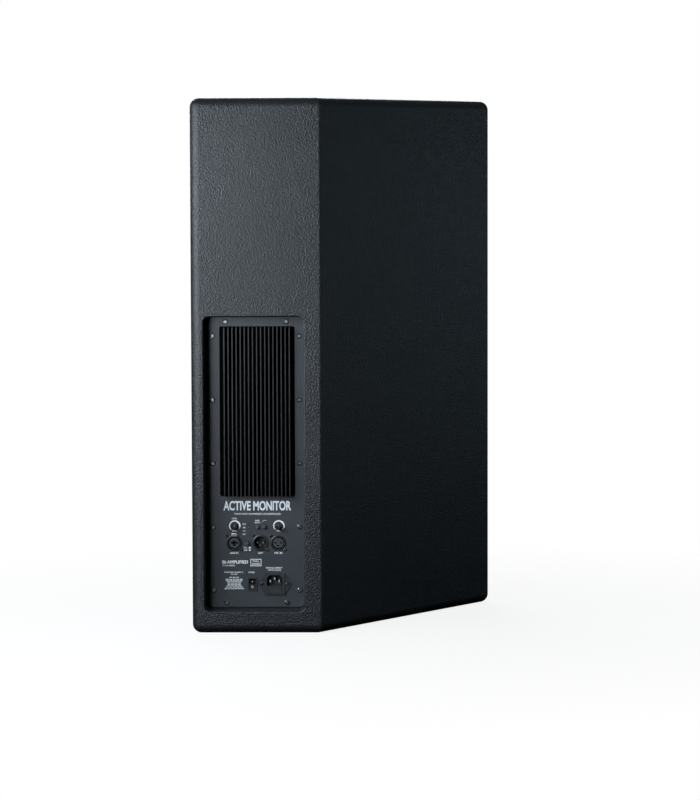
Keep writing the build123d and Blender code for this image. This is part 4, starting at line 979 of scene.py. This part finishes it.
def rocker_marks():
    """The on and off marks on the rocker, each on its own half of the tilted face."""
    low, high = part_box("power_rocker")
    centre_x, centre_z = (low.x + high.x) / 2, (low.z + high.z) / 2
    rocker = frame["nodes"]["power_rocker"].data
    bm = bmesh.new()

    def face_point(u, v):
        """The rocker's outer face at (u, v) millimetres from its centre, and a hair above it."""
        x, z = centre_x - u * MM, centre_z + v * MM
        found = None
        for polygon in rocker.polygons:
            if polygon.normal.y < 0.7:
                continue
            zs = [rocker.vertices[i].co.z for i in polygon.vertices]
            if min(zs) - 1e-6 <= z <= max(zs) + 1e-6:
                n, c = polygon.normal, polygon.center
                y = c.y - (n.x * (x - c.x) + n.z * (z - c.z)) / n.y
                found = y if found is None else max(found, y)
        return Vector((x, (found or high.y) + MARK_LIFT, z))

    def band(inside, outside):
        rings = []
        for a, b in zip(inside, outside):
            pa, pb = face_point(*a), face_point(*b)
            up = Vector((0, INK_T, 0))
            rings.append([bm.verts.new(q) for q in (pa, pa + up, pb + up, pb)])
        return rings

    stem = band([(-0.4, 2.6), (-0.4, 5.4)], [(0.4, 2.6), (0.4, 5.4)])
    grid_quads(bm, stem, closed=True)
    bm.faces.new(stem[0])
    bm.faces.new(stem[-1])
    turns = [radians(360 * k / MARK_SEGMENTS) for k in range(MARK_SEGMENTS)]
    circle = band(
        [(1.1 * cos(a), -4.0 + 1.1 * sin(a)) for a in turns],
        [(1.7 * cos(a), -4.0 + 1.7 * sin(a)) for a in turns],
    )
    grid_quads(bm, circle + [circle[0]], closed=True)
    piece_from(bm, "rocker_marks", "rocker", ink, smooth=False)


rocker_marks()


# ---------------------------------------------------------------- floor, surroundings and light
ROOM_R = 13.0
FLOOR_SHADOW_NEAR, FLOOR_SHADOW_FAR = 0.2, 1.1  # metres from the middle
FLOOR_GLOW_NEAR, FLOOR_GLOW_FAR = 0.86, 1.0


def white_glow(name, strength):
    material = bpy.data.materials.new(name)
    material.use_nodes = True
    tree = material.node_tree
    tree.nodes.clear()
    glow = tree.nodes.new("ShaderNodeEmission")
    glow.inputs["Color"].default_value = (1, 1, 1, 1)
    glow.inputs["Strength"].default_value = strength
    out = tree.nodes.new("ShaderNodeOutputMaterial")
    tree.links.new(glow.outputs[0], out.inputs["Surface"])
    return material


def floor_material():
    """Pale floor: it glows white far off, and takes a soft shadow near the object."""
    material = bpy.data.materials.new("pale_floor")
    material.use_nodes = True
    tree = material.node_tree
    paint = tree.nodes["Principled BSDF"]
    paint.inputs["Base Color"].default_value = (0.9, 0.9, 0.9, 1)
    paint.inputs["Roughness"].default_value = 0.9
    glow = tree.nodes.new("ShaderNodeEmission")
    mix = tree.nodes.new("ShaderNodeMixShader")
    coords = tree.nodes.new("ShaderNodeTexCoord")
    distance = tree.nodes.new("ShaderNodeVectorMath")
    distance.operation = "LENGTH"
    reach = tree.nodes.new("ShaderNodeMapRange")
    reach.inputs["From Min"].default_value = FLOOR_SHADOW_NEAR
    reach.inputs["From Max"].default_value = FLOOR_SHADOW_FAR
    reach.inputs["To Min"].default_value = FLOOR_GLOW_NEAR
    reach.inputs["To Max"].default_value = FLOOR_GLOW_FAR
    out = tree.nodes["Material Output"]
    tree.links.new(coords.outputs["Object"], distance.inputs[0])
    tree.links.new(distance.outputs["Value"], reach.inputs["Value"])
    tree.links.new(reach.outputs["Result"], mix.inputs["Fac"])
    tree.links.new(paint.outputs[0], mix.inputs[1])
    tree.links.new(glow.outputs[0], mix.inputs[2])
    tree.links.new(mix.outputs[0], out.inputs["Surface"])
    return material


def stage_piece(name, bm, material):
    mesh = bpy.data.meshes.new(name)
    bm.to_mesh(mesh)
    bm.free()
    mesh.materials.append(material)
    made = bpy.data.objects.new(name, mesh)
    bpy.context.scene.collection.objects.link(made)
    made.visible_diffuse = False
    made.visible_glossy = False
    made.visible_transmission = False
    made.visible_shadow = False
    return made


def make_surroundings():
    """A pale floor and a white room that only the camera sees: they don't light the dark cabinet."""
    bm = bmesh.new()
    bmesh.ops.create_circle(bm, cap_ends=True, segments=96, radius=ROOM_R)
    stage_piece("floor", bm, floor_material())
    bm = bmesh.new()
    bmesh.ops.create_icosphere(bm, subdivisions=4, radius=ROOM_R)
    stage_piece("room", bm, white_glow("room_white", 1.0))


def soft_light(name, place, target, wide, tall, power, colour):
    data = bpy.data.lights.new(name, "AREA")
    data.shape = "RECTANGLE"
    data.size = wide
    data.size_y = tall
    data.energy = power
    data.color = colour
    lamp = bpy.data.objects.new(name, data)
    bpy.context.scene.collection.objects.link(lamp)
    lamp.location = place
    lamp.visible_camera = False
    lamp.rotation_mode = "QUATERNION"
    lamp.rotation_quaternion = (Vector(target) - Vector(place)).to_track_quat("-Z", "Y")


# name, place, what it points at, width, height, watts, colour
LIGHTS = (
    ("key", (0.8, 0.83, 0.69), (0.2, 0.2, 0.65), 1.15, 0.5, 16.4, (0.83, 0.92, 1.0)),
    ("front", (0.56, 1.55, 0.46), (0.13, 0.15, 0.42), 0.26, 0.5, 3.9, (0.83, 0.9, 1.0)),
    ("side", (-1.75, -0.85, 0.62), (-0.1, 0.0, 0.5), 0.9, 0.8, 1.4, (0.62, 0.85, 1.0)),
    ("fore", (0.6, -2.4, 1.3), (0.0, -0.2, 0.45), 1.6, 1.4, 45, (0.9, 0.95, 1.0)),
    ("wing", (-2.3, 1.0, 0.62), (-0.1, 0.0, 0.5), 0.8, 1.0, 2.0, (0.8, 0.9, 1.0)),
)
AMBIENT_FULL_AT = 0.8
AMBIENT_COLOUR = (0.8, 0.9, 1.0, 1)
AMBIENT_STRENGTH = 0.15

make_surroundings()
for light in LIGHTS:
    soft_light(*light)


def make_ambient():
    """A dim room: faint cool light from above, and none from below."""
    world = bpy.data.worlds.new("ambient")
    world.use_nodes = True
    tree = world.node_tree
    coords = tree.nodes.new("ShaderNodeTexCoord")
    split = tree.nodes.new("ShaderNodeSeparateXYZ")
    ramp = tree.nodes.new("ShaderNodeValToRGB")
    ends = ramp.color_ramp.elements
    ends[0].position, ends[0].color = 0.0, (0, 0, 0, 1)
    ends[1].position, ends[1].color = AMBIENT_FULL_AT, AMBIENT_COLOUR
    tree.links.new(coords.outputs["Generated"], split.inputs[0])
    tree.links.new(split.outputs["Z"], ramp.inputs["Fac"])
    background = tree.nodes["Background"]
    tree.links.new(ramp.outputs["Color"], background.inputs["Color"])
    background.inputs["Strength"].default_value = AMBIENT_STRENGTH
    bpy.context.scene.world = world


make_ambient()
bpy.context.scene.view_settings.view_transform = "Standard"
